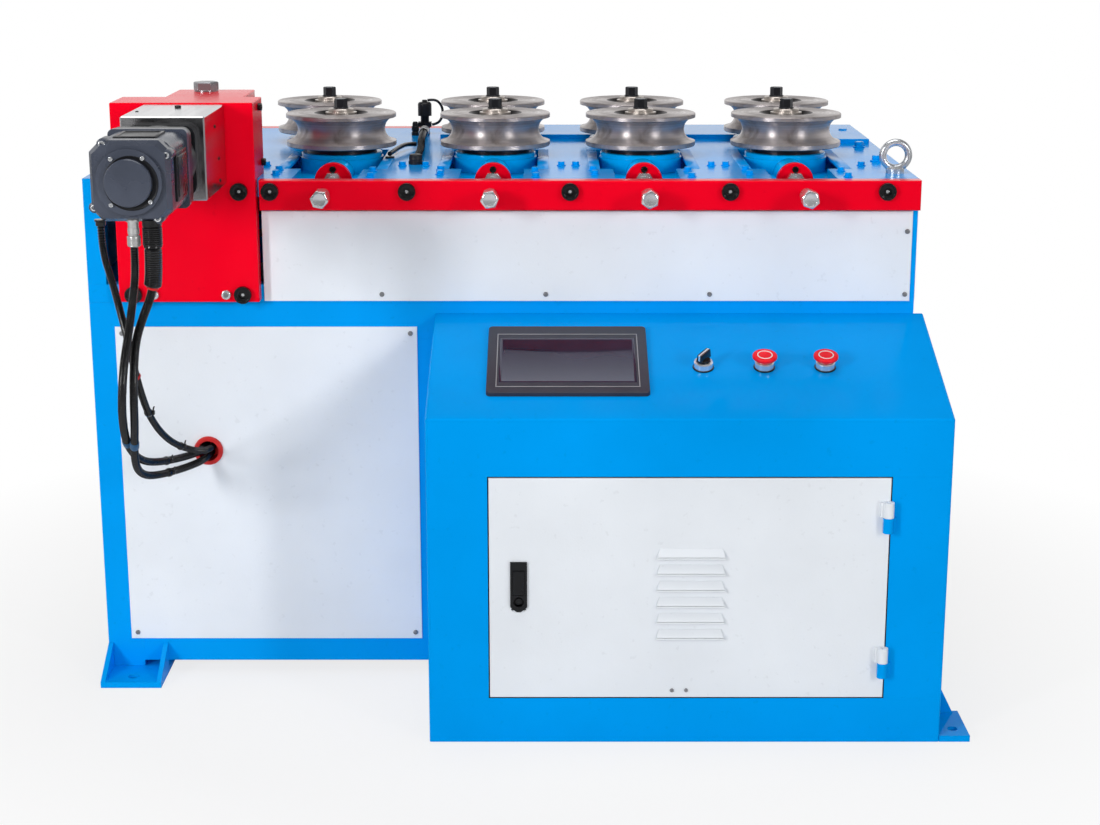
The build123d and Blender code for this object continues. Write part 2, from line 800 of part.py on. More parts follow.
# Adaptor block, reducer and motor on the drive axis
block_face = drive_face_y - block_length
with BuildPart() as adaptor:
    with BuildSketch(face_plane(drive_face_y)):
        with Locations((axis_x, axis_z)):
            Rectangle(block_size, block_size)
            Circle(drive_bore_r, mode=Mode.SUBTRACT)
    extrude(amount=block_length)
    chamfer(adaptor.edges().filter_by(GeomType.LINE), 2.0)
save("adaptor_block", [adaptor.part])

reducer_mid = block_face - reducer_flange_length
reducer_end = reducer_mid - reducer_length
with BuildPart() as reducer:
    with BuildSketch(face_plane(block_face)):
        with Locations((axis_x, axis_z)):
            RectangleRounded(reducer_flange, reducer_flange, reducer_flange_corner)
    extrude(amount=reducer_flange_length)
    with BuildSketch(face_plane(reducer_mid)):
        with Locations((axis_x, axis_z)):
            Circle(reducer_r)
    extrude(amount=reducer_length)
    with BuildSketch(face_plane(reducer_end)):
        with Locations((axis_x, axis_z)):
            RectangleRounded(motor_adapter, motor_adapter, 12.0)
    extrude(amount=motor_adapter_length)
save("reducer", [reducer.part])

motor_start = reducer_end - motor_adapter_length
motor_steps = [
    (motor_flange, motor_flange_length, 8.0),
    (motor_body, motor_body_length, 18.0),
]
with BuildPart() as motor:
    step_y = motor_start
    for side, length, corner in motor_steps:
        with BuildSketch(face_plane(step_y)):
            with Locations((axis_x, axis_z)):
                RectangleRounded(side, side, corner)
        extrude(amount=length)
        step_y -= length
    for length, taper in ((end_bell_length - bell_nose, 0.0), (bell_nose, bell_taper)):
        with BuildSketch(face_plane(step_y)) as bell_face:
            with Locations((axis_x, axis_z)):
                Rectangle(end_bell, end_bell)
            chamfer(bell_face.vertices().group_by(Axis.Z)[-1], bell_corner)
        extrude(amount=length, taper=taper)
        step_y -= length
    bell_y = step_y
    for radius, length in ((cap_ring_r, cap_ring_length), (motor_cap_r, motor_cap_length)):
        with BuildSketch(face_plane(bell_y)):
            with Locations((axis_x, axis_z)):
                Circle(radius)
        extrude(amount=length)
    chamfer(motor.faces().sort_by(Axis.Y)[0].edges(), 1.5)
save("servo_motor", [motor.part])

# Bevel shafts inside the drive head
bevel_mid_r = bevel_near - bevel_gap
bevel_rim_r = bevel_far - bevel_gap
shaft_top = axis_z - bevel_near
output_core = turned([
    (0, head_chain_z - shaft_end),
    (drive_shaft_r, head_chain_z - shaft_end),
    (drive_shaft_r, axis_z - bevel_far),
    (bevel_rim_r, axis_z - bevel_far),
    (bevel_mid_r, shaft_top),
    (0, shaft_top),
], axis_x, out_y)
hub_r = spindle_r - drive_shaft_r
with BuildPart() as output_hub:
    with BuildSketch(Plane.XY.offset(head_chain_z)):
        with Locations((axis_x, out_y)):
            Circle(spindle_r)
            Circle(drive_shaft_r, mode=Mode.SUBTRACT)
    extrude(amount=sprocket_thick + hub_r)
save("output_shaft", [output_core, output_hub.part, sprocket(axis_x, out_y, head_chain_z)])

with BuildPart() as input_core:
    with BuildSketch(Plane(origin=(axis_x, out_y, axis_z), x_dir=(1, 0, 0), z_dir=(0, 0, 1))):
        Polygon(
            (0, -bevel_near),
            (bevel_mid_r, -bevel_near),
            (bevel_rim_r, -bevel_far),
            (drive_shaft_r, -bevel_far),
            (drive_shaft_r, block_face + door_gap - out_y),
            (0, block_face + door_gap - out_y),
        )
    revolve(axis=Axis((axis_x, out_y, axis_z), (0, 1, 0)))
save("input_shaft", [input_core.part])


def chain(x0, y0, x1, y1, z):
    """A closed chain loop round two equal wheels."""
    span = math.dist((x0, y0), (x1, y1))
    turn = math.degrees(math.atan2(y1 - y0, x1 - x0))
    inner = sprocket_r + chain_gap
    with BuildPart() as loop:
        with BuildSketch(Plane.XY.offset(z)):
            with Locations(((x0 + x1) / 2, (y0 + y1) / 2)):
                SlotCenterToCenter(span, 2 * (inner + chain_thick), rotation=turn)
                SlotCenterToCenter(span, 2 * inner, rotation=turn, mode=Mode.SUBTRACT)
        extrude(amount=sprocket_thick)
    return loop.part


save("drive_chains", [
    chain(axis_x, out_y, left_x + rear_xs[0], rear_y_axis, head_chain_z),
    chain(left_x + rear_xs[0], rear_y_axis, left_x + rear_xs[-1], rear_y_axis, row_chain_z),
])

# Motor connectors under the end bell
bell_low = axis_z - end_bell / 2
lead_y = bell_y + end_bell_length / 2
plug_specs = [
    (-46.0, 7.0, 6.0),
    (-1.0, 9.0, 36.0),
    (25.0, 14.0, 38.0),
]
connectors = []
for offset, radius, drop in plug_specs:
    with BuildPart() as connector:
        with Locations((axis_x + offset, lead_y, bell_low - drop / 2)):
            Cylinder(radius, drop)
        chamfer(connector.faces().sort_by(Axis.Z)[0].edges(), 1.0)
    connectors.append(connector.part)
save("motor_connectors", connectors)

# Motor leads: drawn from the frame's left front corner for one height and reach, then fitted to the machine
drawn_grommet_z = 391.0
drawn_drop = 453.0
drawn_reach = 446.0
lead_end_y = grommet_depth - grommet_floor - sheet
lead_specs = {
    "motor_cable_1": (11.0, [
        (127.0, -446.0, 800.0),
        (138.0, -442.0, 757.0),
        (144.0, -429.0, 712.0),
        (148.0, -405.0, 661.6),
        (147.5, -370.0, 610.9),
        (145.9, -320.0, 559.5),
        (143.2, -260.0, 514.9),
        (144.6, -190.0, 471.0),
        (151.0, -120.0, 434.0),
        (172.0, -64.0, 407.0),
        (191.0, -20.0, 396.0),
        (191.0, lead_end_y, 396.0),
    ]),
    "motor_cable_2": (12.5, [
        (172.0, -446.0, 772.0),
        (166.5, -446.0, 734.0),
        (156.0, -441.0, 680.9),
        (144.8, -429.0, 636.2),
        (134.5, -406.0, 585.1),
        (124.4, -366.0, 534.5),
        (114.8, -300.0, 481.8),
        (112.0, -215.0, 436.0),
        (118.0, -132.0, 406.0),
        (150.0, -60.0, 394.0),
        (177.0, -20.0, 395.0),
        (177.0, lead_end_y, 395.0),
    ]),
    "motor_cable_3": (12.5, [
        (198.0, -446.0, 772.0),
        (192.0, -443.0, 738.0),
        (177.5, -434.0, 707.8),
        (163.0, -424.0, 671.5),
        (155.0, -410.0, 630.9),
        (147.0, -386.0, 579.0),
        (138.0, -347.0, 522.0),
        (122.0, -288.0, 457.0),
        (111.0, -208.0, 411.0),
        (117.0, -130.0, 383.0),
        (155.0, -60.0, 377.0),
        (184.5, -20.0, 382.0),
        (184.5, lead_end_y, 382.0),
    ]),
}


def lead_tube(diameter, points):
    """A round lead along straight runs joined by tangent arcs."""
    radii = []
    for before, here, after in zip(points, points[1:], points[2:]):
        run_in = Vector(*here) - Vector(*before)
        run_out = Vector(*after) - Vector(*here)
        half_turn = math.radians(run_in.get_angle(run_out)) / 2
        radii.append(0.45 * min(run_in.length, run_out.length) / math.tan(half_turn))
    with BuildPart() as lead:
        with BuildLine() as path:
            FilletPolyline(*points, radius=radii)
        route = path.wire()
        with BuildSketch(Plane(origin=route @ 0, z_dir=route % 0)):
            Circle(diameter / 2)
        sweep()
    section = math.pi * diameter ** 2 / 4
    print(f"lead d {diameter}: length {route.length:.1f}, least radius {min(radii):.1f},"
          f" volume ratio {lead.part.volume / (section * route.length):.4f}")
    return lead.part


drop_scale = (bell_low - grommet_z) / drawn_drop
reach_scale = (front_y - lead_y) / drawn_reach
for (name, (diameter, route)), (offset, radius, drop) in zip(lead_specs.items(), plug_specs):
    points = [(axis_x + offset, lead_y, bell_low - drop)]
    for x, y, z in route[:-2]:
        drop = (z - drawn_grommet_z) * drop_scale
        points.append((left_x + x, front_y + y * reach_scale, grommet_z + drop))
    for x, y, z in route[-2:]:
        points.append((left_x + x, front_y + y, grommet_z + z - drawn_grommet_z))
    save(name, [lead_tube(diameter, points)])

# Grommet cup in the base panel
with BuildPart() as grommet:
    with BuildSketch(face_plane(front_y - sheet)):
        with Locations((left_x + grommet_x, grommet_z)):
            Circle(grommet_r)
    extrude(amount=grommet_lip)
    fillet(grommet.faces().sort_by(Axis.Y)[0].edges(), 2.5)
    with BuildSketch(face_plane(front_y - sheet)):
        with Locations((left_x + grommet_x, grommet_z)):
            Circle(lead_bore + grommet_neck)
    extrude(amount=-grommet_depth)
    with BuildSketch(face_plane(front_y - sheet + grommet_depth - grommet_floor)):
        with Locations((left_x + grommet_x, grommet_z)):
            Circle(lead_bore)
    extrude(amount=grommet_depth + grommet_lip, mode=Mode.SUBTRACT)
save("cable_grommet", [grommet.part])

# Console shell: folded plates round a door opening
plate_drop = plate / math.cos(slope)
inner_left = console_left + plate
inner_right = console_right - plate
door_x0 = console_left + door_left_margin
door_x1 = console_right - door_right_margin
door_width = door_x1 - door_x0
door_top = door_bottom + door_height
front_high = console_front_height - plate_drop
back_high = console_back_height - plate_drop - plate * math.tan(slope)


def side_plate(x, outer):
    """One end plate of the console, rounded along its outer front and top edges."""
    with BuildPart() as side:
        with BuildSketch(Plane.YZ.offset(x)):
            Polygon(
                (console_front, 0),
                (front_y, 0),
                (front_y, console_back_height),
                (console_front, console_front_height),
            )
        extrude(amount=plate)
        outside = side.faces().sort_by(Axis.X)[outer]
        fillet(outside.edges().sort_by(Axis.Y)[:1] + outside.edges().sort_by(Axis.Z)[-1:], plate_edge)
    return side.part


with BuildPart() as top_plate:
    with BuildSketch(Plane.YZ.offset(inner_left)):
        Polygon(
            (console_front, console_front_height),
            (front_y, console_back_height),
            (front_y, console_back_height - plate_drop),
            (console_front, front_high),
        )
    extrude(amount=inner_right - inner_left)
    fillet(top_plate.faces().sort_by(Axis.Y)[0].edges().sort_by(Axis.Z)[-1:], plate_edge)
    with BuildSketch(slope_plane):
        for x in control_xs:
            with Locations((x, control_rise)):
                Circle(stem_r + running_gap)
    extrude(amount=-2 * plate, mode=Mode.SUBTRACT)
front_in = console_front + plate
shell = [side_plate(console_left, 0), side_plate(inner_right, -1), top_plate.part]
shell.append(bar(inner_left, inner_right, console_front, front_y, 0, plate))
shell.append(bar(inner_left, inner_right, front_y - plate, front_y, plate, back_high))
shell.append(bar(inner_left, inner_right, console_front, front_in, plate, door_bottom - door_gap))
shell.append(bar(inner_left, inner_right, console_front, front_in, door_top + door_gap, front_high))
shell.append(bar(inner_left, door_x0 - door_gap, console_front, front_in, door_bottom - door_gap,
                 door_top + door_gap))
shell.append(bar(door_x1 + door_gap, inner_right, console_front, front_in, door_bottom - door_gap,
                 door_top + door_gap))
hinge_x = door_x1 - knuckle_inset
hinge_y = console_front - knuckle_r
half_hinge = hinge_height / 2
for z in hinge_zs:
    with BuildPart() as knuckle:
        with Locations((hinge_x, hinge_y, z + half_hinge / 2)):
            Cylinder(knuckle_r, half_hinge)
        with Locations((hinge_x + hinge_leaf / 2, hinge_y + knuckle_r / 2, z + half_hinge / 2)):
            Box(hinge_leaf, knuckle_r, half_hinge)
        with Locations((hinge_x, hinge_y, z + 0.85 * half_hinge)):
            Cylinder(pin_r, 1.7 * half_hinge)
    shell.append(knuckle.part)
foot_x1 = console_right + console_foot_reach
foot_back = console_front + console_foot_length
with BuildPart() as console_foot:
    with Locations(((console_right + foot_x1) / 2, (console_front + foot_back) / 2, foot_thick / 2)):
        Box(console_foot_reach, console_foot_length, foot_thick)
    with Locations((console_right + console_anchor_in, console_front + console_anchor_back, foot_thick / 2)):
        Cylinder(console_anchor_r, foot_thick, mode=Mode.SUBTRACT)
shell.append(console_foot.part)
with BuildPart() as console_gusset:
    with BuildSketch(face_plane(foot_back)):
        Polygon(
            (console_right, foot_thick),
            (console_right + 0.8 * console_foot_reach, foot_thick),
            (console_right, foot_thick + console_foot_gusset),
        )
    extrude(amount=gusset_thick)
shell.append(console_gusset.part)
save("console_shell", shell)

# Console door: folded pan with louvres and the upper hinge knuckles
louvre_x0 = console_left + louvre_left
with BuildPart() as door:
    with Locations(((door_x0 + door_x1) / 2, console_front + door_fold / 2, (door_bottom + door_top) / 2)):
        Box(door_width, door_fold, door_height)
    with Locations((
        (door_x0 + door_x1) / 2,
        console_front + door_sheet + door_fold / 2,
        (door_bottom + door_top) / 2,
    )):
        Box(door_width - 2 * door_sheet, door_fold, door_height - 2 * door_sheet, mode=Mode.SUBTRACT)
    with BuildSketch(Plane.YZ.offset(louvre_x0)):
        for step in range(louvre_count):
            z = louvre_low + step * louvre_pitch
            Polygon(
                (console_front, z),
                (console_front - louvre_out, z),
                (console_front, z + louvre_height),
            )
    extrude(amount=louvre_width)
    with BuildSketch(Plane.YZ.offset(louvre_x0 + louvre_skin)):
        for step in range(louvre_count):
            z = louvre_low + step * louvre_pitch
            Polygon(
                (console_front + door_sheet, z),
                (console_front - louvre_out + louvre_skin, z),
                (console_front + door_sheet, z + louvre_height),
            )
    extrude(amount=louvre_width - 2 * louvre_skin, mode=Mode.SUBTRACT)
    for z in hinge_zs:
        with Locations((hinge_x, hinge_y, z + 1.5 * half_hinge)):
            Cylinder(knuckle_r, half_hinge)
        with Locations((hinge_x - hinge_leaf / 2, hinge_y + knuckle_r / 2, z + 1.5 * half_hinge)):
            Box(hinge_leaf, knuckle_r, half_hinge)
        with Locations((hinge_x, hinge_y, z + 1.5 * half_hinge)):
            Cylinder(pin_r + running_gap, half_hinge, mode=Mode.SUBTRACT)
    with Locations((
        console_left + lock_left + lock_width / 2,
        console_front + door_sheet / 2,
        lock_bottom + lock_height / 2,
    )):
        Box(lock_width - lock_out, door_sheet, lock_height - lock_out, mode=Mode.SUBTRACT)
save("console_door", [door.part])

# Lock in the door and its lift-out lever
lock_x = console_left + lock_left + lock_width / 2
lever_top = lock_bottom + lock_height - lever_margin
lever_low = lever_top - lever_height
lever_y = console_front - lock_out
lock_mid = lock_bottom + lock_height / 2
key_z = lock_bottom + keyhole_rise
with BuildPart() as lock:
    with BuildSketch(face_plane(console_front)):
        with BuildLine():
            Polyline(
                (lock_x - lock_width / 2, lock_bottom + lock_height),
                (lock_x + lock_width / 2, lock_bottom + lock_height),
                (lock_x + lock_width / 2, lock_bottom + lock_point),
                (lock_x + lock_tip, lock_bottom),
                (lock_x - lock_tip, lock_bottom),
                (lock_x - lock_width / 2, lock_bottom + lock_point),
                close=True,
            )
        make_face()
    extrude(amount=lock_out)
    fillet(lock.faces().sort_by(Axis.Y)[0].edges(), 1.2)
    with BuildSketch(face_plane(console_front)):
        with Locations((lock_x, lock_mid + lock_point / 2)):
            Rectangle(lock_width - lock_out - slide_gap, lock_height - lock_out - lock_point)
    extrude(amount=-lock_depth)
    with BuildSketch(face_plane(lever_y)):
        with Locations((lock_x, (lever_low + lever_top) / 2)):
            Rectangle(lever_width + 2 * slide_gap, lever_height + 2 * slide_gap)
    extrude(amount=-lever_thick, mode=Mode.SUBTRACT)
    with BuildSketch(face_plane(lever_y)):
        with Locations((lock_x, key_z)):
            Circle(keyhole_r)
    extrude(amount=-lever_thick, mode=Mode.SUBTRACT)
    with BuildSketch(face_plane(lever_y + lever_thick)):
        with Locations((lock_x, key_z)):
            Circle(keyhole_r - lock_tip)
    extrude(amount=lever_thick / 2)
save("door_lock", [lock.part])

with BuildPart() as lever:
    with BuildSketch(face_plane(lever_y + lever_thick - slide_gap)):
        with Locations((lock_x, (lever_low + lever_top) / 2)):
            Rectangle(lever_width, lever_height)
    extrude(amount=lever_thick)
    fillet(lever.edges().filter_by(Axis.X).group_by(Axis.Z)[-1], lever_thick / 2 - 0.2)
    fillet(lever.faces().sort_by(Axis.Y)[0].edges().group_by(Axis.Z)[0], 1.0)
save("lock_lever", [lever.part])

# Touch screen on the sloping top
with BuildPart() as screen:
    with BuildSketch(slope_plane):
        with Locations((screen_left + screen_width / 2, screen_rise + screen_length / 2)):
            RectangleRounded(screen_width, screen_length, 7.0)
    extrude(amount=screen_thick)
    fillet(screen.faces().sort_by(slope_axis)[-1].edges(), 2.0)
    glass_width = screen_width - glass_left - glass_right
    glass_length = screen_length - glass_low - glass_high
    with BuildSketch(slope_plane.offset(screen_thick)):
        with Locations((
            screen_left + glass_left + glass_width / 2,
            screen_rise + glass_low + glass_length / 2,
        )):
            Rectangle(glass_width, glass_length)
    extrude(amount=-glass_depth, mode=Mode.SUBTRACT)
save("touch_screen", [screen.part])

# Control bezels, selector knob and mushroom buttons
bezels = []
for x in control_xs:
    with BuildPart() as bezel:
        with BuildSketch(slope_plane):
            with Locations((x, control_rise)):
                Circle(bezel_r)
                Circle(stem_r + running_gap, mode=Mode.SUBTRACT)
        extrude(amount=bezel_height)
        chamfer(bezel.faces().sort_by(slope_axis)[-1].outer_wire().edges(), 1.5)
    bezels.append(bezel.part)
save("button_bezels", bezels)

with BuildPart() as knob:
    with BuildSketch(slope_plane.offset(-stem_depth)):
        with Locations((control_xs[0], control_rise)):
            Circle(stem_r)
    extrude(amount=stem_depth + bezel_height + 1.0)
    with BuildSketch(slope_plane.offset(bezel_height + slide_gap)):
        with Locations((control_xs[0], control_rise)):
            Circle(bezel_r - 2.5)
    extrude(amount=3.0)
    with BuildSketch(slope_plane.offset(bezel_height + 1.0)):
        with Locations((control_xs[0], control_rise)):
            SlotOverall(2 * bezel_r - 4.0, knob_grip, rotation=knob_turn)
    extrude(amount=knob_height)
    fillet(knob.faces().sort_by(slope_axis)[-1].edges(), 1.0)
save("selector_knob", [knob.part])

for number, x in enumerate(control_xs[1:], 1):
    with BuildPart() as button:
        with BuildSketch(slope_plane.offset(-stem_depth)):
            with Locations((x, control_rise)):
                Circle(stem_r)
        extrude(amount=stem_depth + mushroom_low)
        with BuildSketch(slope_plane.offset(mushroom_low)):
            with Locations((x, control_rise)):
                Circle(mushroom_r)
        extrude(amount=mushroom_top - mushroom_low)
        fillet(button.faces().sort_by(slope_axis)[-1].edges(), mushroom_round)
        wide_rims = button.edges().filter_by(GeomType.CIRCLE).group_by(SortBy.RADIUS)[-1]
        chamfer(wide_rims.sort_by(slope_axis)[0], mushroom_under)
    save(f"stop_button_{number}", [button.part])

# Electrics on a back plate in the console
panel_gap = 60.0
panel_low = 40.0
panel_high = 560.0
back_face = front_y - plate
unit_face = back_face - plate
units = [
    (70.0, 200.0, 260.0, 480.0, 130.0),
    (230.0, 330.0, 290.0, 470.0, 110.0),
    (370.0, 640.0, 380.0, 465.0, 70.0),
    (370.0, 640.0, 230.0, 300.0, 60.0),
    (70.0, 640.0, 110.0, 150.0, 60.0),
]
gear = [bar(console_left + panel_gap, console_right - panel_gap, unit_face, back_face, panel_low, panel_high)]
for x0, x1, z0, z1, depth in units:
    gear.append(bar(console_left + x0, console_left + x1, unit_face - depth, unit_face, z0, z1))
save("electrics", gear)

# Tube sensor: post, deck glands, and its three leads
sx = left_x + sensor_x
sy = back_y - rear_rail_thick - sensor_back_gap
block_high = deck_top + sensor_block_height
nut_high = block_high + sensor_nut_height
neck_high = nut_high + sensor_neck_height
head_high = neck_high + sensor_head_height
with BuildPart() as post:
    with Locations((sx, sy, deck_top + sensor_block_height / 2)):
        Box(sensor_block, sensor_block, sensor_block_height)
    with BuildSketch(Plane.XY.offset(block_high)):
        with Locations((sx, sy)):
            RegularPolygon(sensor_nut / 2, 6, major_radius=False, rotation=30)
    extrude(amount=sensor_nut_height)
    with Locations((sx, sy, nut_high + sensor_neck_height / 2)):
        Cylinder(sensor_neck_r, sensor_neck_height)
    with Locations((sx, sy, neck_high + sensor_head_height / 2)):
        Cylinder(sensor_head_r, sensor_head_height)
    fillet(post.edges().filter_by(GeomType.CIRCLE).sort_by(Axis.Z)[-1:], 5.0)
    with Locations((sx, sy, head_high + sensor_knob_height / 2)):
        Cylinder(sensor_knob_r, sensor_knob_height)
    fillet(post.faces().sort_by(Axis.Z)[-1].edges(), 1.5)
knob_high = head_high + sensor_knob_height
lead_z = head_high + sensor_lead_r + lead_clear / 2
lead_route = [
    (sx + sensor_knob_r + lead_clear / 2, sy, lead_z),
    (sx + 16.0, sy, lead_z + 1.5),
    (sx + 26.0, sy, lead_z - 2.0),
    (sx + 33.0, sy, lead_z - 12.0),
    (sx + 34.5, sy, lead_z - 25.0),
    (sx + 30.5, sy, lead_z - 37.0),
    (sx + 22.5, sy, lead_z - 44.5),
    (sx + sensor_nut / 2 + lead_clear, sy, lead_z - 46.0),
]
gx = left_x + gland_x
gy = front_y + gland_y
conduit_z = deck_top + conduit_r + fitting_wall + slide_gap
with BuildPart() as gland:
    with Locations((gx, gy, deck_top + gland_height / 2)):
        Cylinder(gland_r, gland_height)
    fillet(gland.faces().sort_by(Axis.Z)[-1].edges(), 4.0)
with BuildPart() as fitting:
    with BuildSketch(face_plane(sy - sensor_block / 2)):
        with Locations((sx, conduit_z)):
            Circle(conduit_r + fitting_wall)
    extrude(amount=fitting_length)
conduit_end = sy - sensor_block / 2 - fitting_length
conduit_route = [
    (gx, gy + gland_r + lead_clear, conduit_z),
    (gx + 1.0, gy + 90.0, conduit_z),
    (gx - 2.0, gy + 190.0, conduit_z),
    (gx - 9.0, gy + 290.0, conduit_z),
    (sx, conduit_end - lead_clear, conduit_z),
]
bx = gx - 50.0
by = gy + 80.0
with BuildPart() as branch_eye:
    with Locations((bx, by, deck_top + branch_eye_height / 2)):
        Cylinder(branch_eye_r, branch_eye_height)
    fillet(branch_eye.faces().sort_by(Axis.Z)[-1].edges(), 1.5)
branch_high = deck_top + branch_eye_height + branch_r
branch_route = [
    (gx - conduit_r - 4.0 - 4 * lead_clear, gy + 214.0, conduit_z),
    (gx - 21.5, gy + 205.0, conduit_z + 1.0),
    (gx - 28.0, gy + 188.0, conduit_z + 2.5),
    (gx - 34.0, gy + 165.0, conduit_z + 3.0),
    (gx - 40.0, gy + 138.0, conduit_z + 2.0),
    (gx - 45.0, gy + 110.0, conduit_z + 0.5),
    (bx, by, branch_high + lead_clear / 2),
]
save("tube_sensor", [post.part, gland.part, fitting.part, branch_eye.part])
save("sensor_lead", [lead_tube(2 * sensor_lead_r, lead_route)])
save("sensor_conduit", [lead_tube(2 * conduit_r, conduit_route)])
save("sensor_branch", [lead_tube(2 * branch_r, branch_route)])
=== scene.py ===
import json
import math

import bpy
from mathutils import Matrix, Vector


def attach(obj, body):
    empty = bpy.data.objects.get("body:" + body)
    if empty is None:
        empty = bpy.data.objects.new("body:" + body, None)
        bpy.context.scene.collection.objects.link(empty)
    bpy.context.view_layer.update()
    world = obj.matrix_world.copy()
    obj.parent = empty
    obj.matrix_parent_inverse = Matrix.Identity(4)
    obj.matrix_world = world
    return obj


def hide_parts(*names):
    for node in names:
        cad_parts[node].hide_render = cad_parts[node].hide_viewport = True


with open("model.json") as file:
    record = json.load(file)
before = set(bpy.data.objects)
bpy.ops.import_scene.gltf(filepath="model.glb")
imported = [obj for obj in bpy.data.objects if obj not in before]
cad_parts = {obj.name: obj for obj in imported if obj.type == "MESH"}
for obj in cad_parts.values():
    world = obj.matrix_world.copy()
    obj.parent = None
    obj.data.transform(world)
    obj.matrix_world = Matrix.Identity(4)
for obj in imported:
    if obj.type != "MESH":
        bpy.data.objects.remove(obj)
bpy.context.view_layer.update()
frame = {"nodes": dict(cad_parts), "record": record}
nodes = frame["nodes"]
room = bpy.context.scene

# Camera
LOOK_DOWN = 14.4
lens = bpy.data.cameras.new("view_eye")
lens.sensor_width = 36.0
lens.lens = 65.4545
eye = bpy.data.objects.new("view_eye", lens)
eye.location = (0.048, -3.3795, 1.276)
eye.rotation_euler = (math.radians(90 - LOOK_DOWN), 0, 0)
room.collection.objects.link(eye)
room.camera = eye
room.view_settings.view_transform = "Standard"

# Main places, in millimetres
LEFT, FRONT = -702.0, -182.5
DECK = 842.0
FRONT_AXES = [-314.0, -47.0, 205.0, 457.0]
REAR_AXES = [-357.0, -57.0, 198.0, 464.0]
FRONT_ROW, REAR_ROW = 107.5, 327.5
DRIVE_X, DRIVE_Z = -529.0, 900.0
DESK_LEFT, DESK_FRONT, DESK_LOW = -140.0, -479.5, 521.0
DESK_TILT = math.atan2(101.0, 297.0)
SCREEN_X, CONTROL_XS, CONTROL_RISE = 215.5, (427.0, 522.0, 617.0), 147.0
RAIL_FACE, RAIL_BOLT_Z, FLANGE_LOW_Z, SCREW_Z = -207.5, 825.0, 658.0, 819.0
HUB_R, HUB_TOP = 66.0, 917.6
SPINDLE_BOLT_LOW, SEAL_TOP = 925.1, 862.5
SCREW_SEAT, RETAINER_FACE = -229.8, -50.5
EAR_FACE, CAP_FACE, REDUCER_FACE, ADAPTOR_SIDE, HOUSING_SIDE = -639.4, -651.4, -414.5, -466.8, -421.0
DOOR_SKIN, LOUVRE_LOW, LOUVRE_STEP, LOUVRES = -479.4, 172.0, 26.0, 6
FORWARD, RIGHTWARD = (0.0, -1.0, 0.0), (1.0, 0.0, 0.0)


def mm(*places):
    """Millimetres as metres."""
    return tuple(place / 1000 for place in places)


def on_desk(x, rise, lift):
    """A point on the sloping desk: x from its left side, rise along the slope, lift off the surface."""
    return mm(
        DESK_LEFT + x,
        DESK_FRONT + rise * math.cos(DESK_TILT) - lift * math.sin(DESK_TILT),
        DESK_LOW + rise * math.sin(DESK_TILT) + lift * math.cos(DESK_TILT),
    )


# Shader building
def put(tree, kind, inputs=None, **settings):
    """Add one shader node; inputs are values or the output sockets that feed them."""
    node = tree.nodes.new("ShaderNode" + kind)
    for key, value in settings.items():
        setattr(node, key, value)
    for key, value in (inputs or {}).items():
        if isinstance(value, bpy.types.NodeSocket):
            tree.links.new(value, node.inputs[key])
        else:
            node.inputs[key].default_value = value
    return node


def new_group(name, inputs, outputs):
    """Start a shader node group with its named sockets."""
    group = bpy.data.node_groups.new(name, "ShaderNodeTree")
    for label, kind, value in inputs:
        socket = group.interface.new_socket(name=label, in_out="INPUT", socket_type="NodeSocket" + kind)
        if value is not None:
            socket.default_value = value
    for label, kind in outputs:
        group.interface.new_socket(name=label, in_out="OUTPUT", socket_type="NodeSocket" + kind)
    return group, group.nodes.new("NodeGroupInput").outputs, group.nodes.new("NodeGroupOutput").inputs


def use_group(tree, group, **inputs):
    """Place a group in a material; input names have underscores for spaces."""
    node = tree.nodes.new("ShaderNodeGroup")
    node.node_tree = group
    for key, value in inputs.items():
        label = key.replace("_", " ")
        if isinstance(value, bpy.types.NodeSocket):
            tree.links.new(value, node.inputs[label])
        else:
            node.inputs[label].default_value = value
    return node.outputs


def blend_colour(tree, mask, first, second):
    """Mix two colours by a mask; each is a value or a socket."""
    mix = put(tree, "Mix", data_type="RGBA")
    for socket, value in ((mix.inputs[0], mask), (mix.inputs[6], first), (mix.inputs[7], second)):
        if isinstance(value, bpy.types.NodeSocket):
            tree.links.new(value, socket)
        else:
            socket.default_value = value
    return mix.outputs[2]


def spread(tree, value, low, high, start=0.3, end=0.7):
    """Map a noise value to a range."""
    return put(tree, "MapRange", {0: value, 1: start, 2: end, 3: low, 4: high}).outputs[0]


def shade(colour, factor):
    """A colour made lighter or darker."""
    return tuple(min(1.0, part * factor) for part in colour[:3]) + (1.0,)


# Broad clouds, fine grain and sparse specks
surface_noise, given, out = new_group(
    "surface_noise",
    [("Vector", "Vector", None), ("Broad scale", "Float", 4.0), ("Fine scale", "Float", 300.0)],
    [("Broad", "Float"), ("Fine", "Float"), ("Specks", "Float")],
)
spot = given["Vector"]
broad = put(surface_noise, "TexNoise", {"Vector": spot, "Scale": given["Broad scale"], "Detail": 4.0})
fine = put(surface_noise, "TexNoise", {"Vector": spot, "Scale": given["Fine scale"], "Detail": 2.0})
speck = put(surface_noise, "TexNoise", {"Vector": spot, "Scale": 95.0, "Detail": 3.0})
surface_noise.links.new(broad.outputs[0], out["Broad"])
surface_noise.links.new(fine.outputs[0], out["Fine"])
surface_noise.links.new(spread(surface_noise, speck.outputs[0], 0.0, 1.0, 0.66, 0.74), out["Specks"])

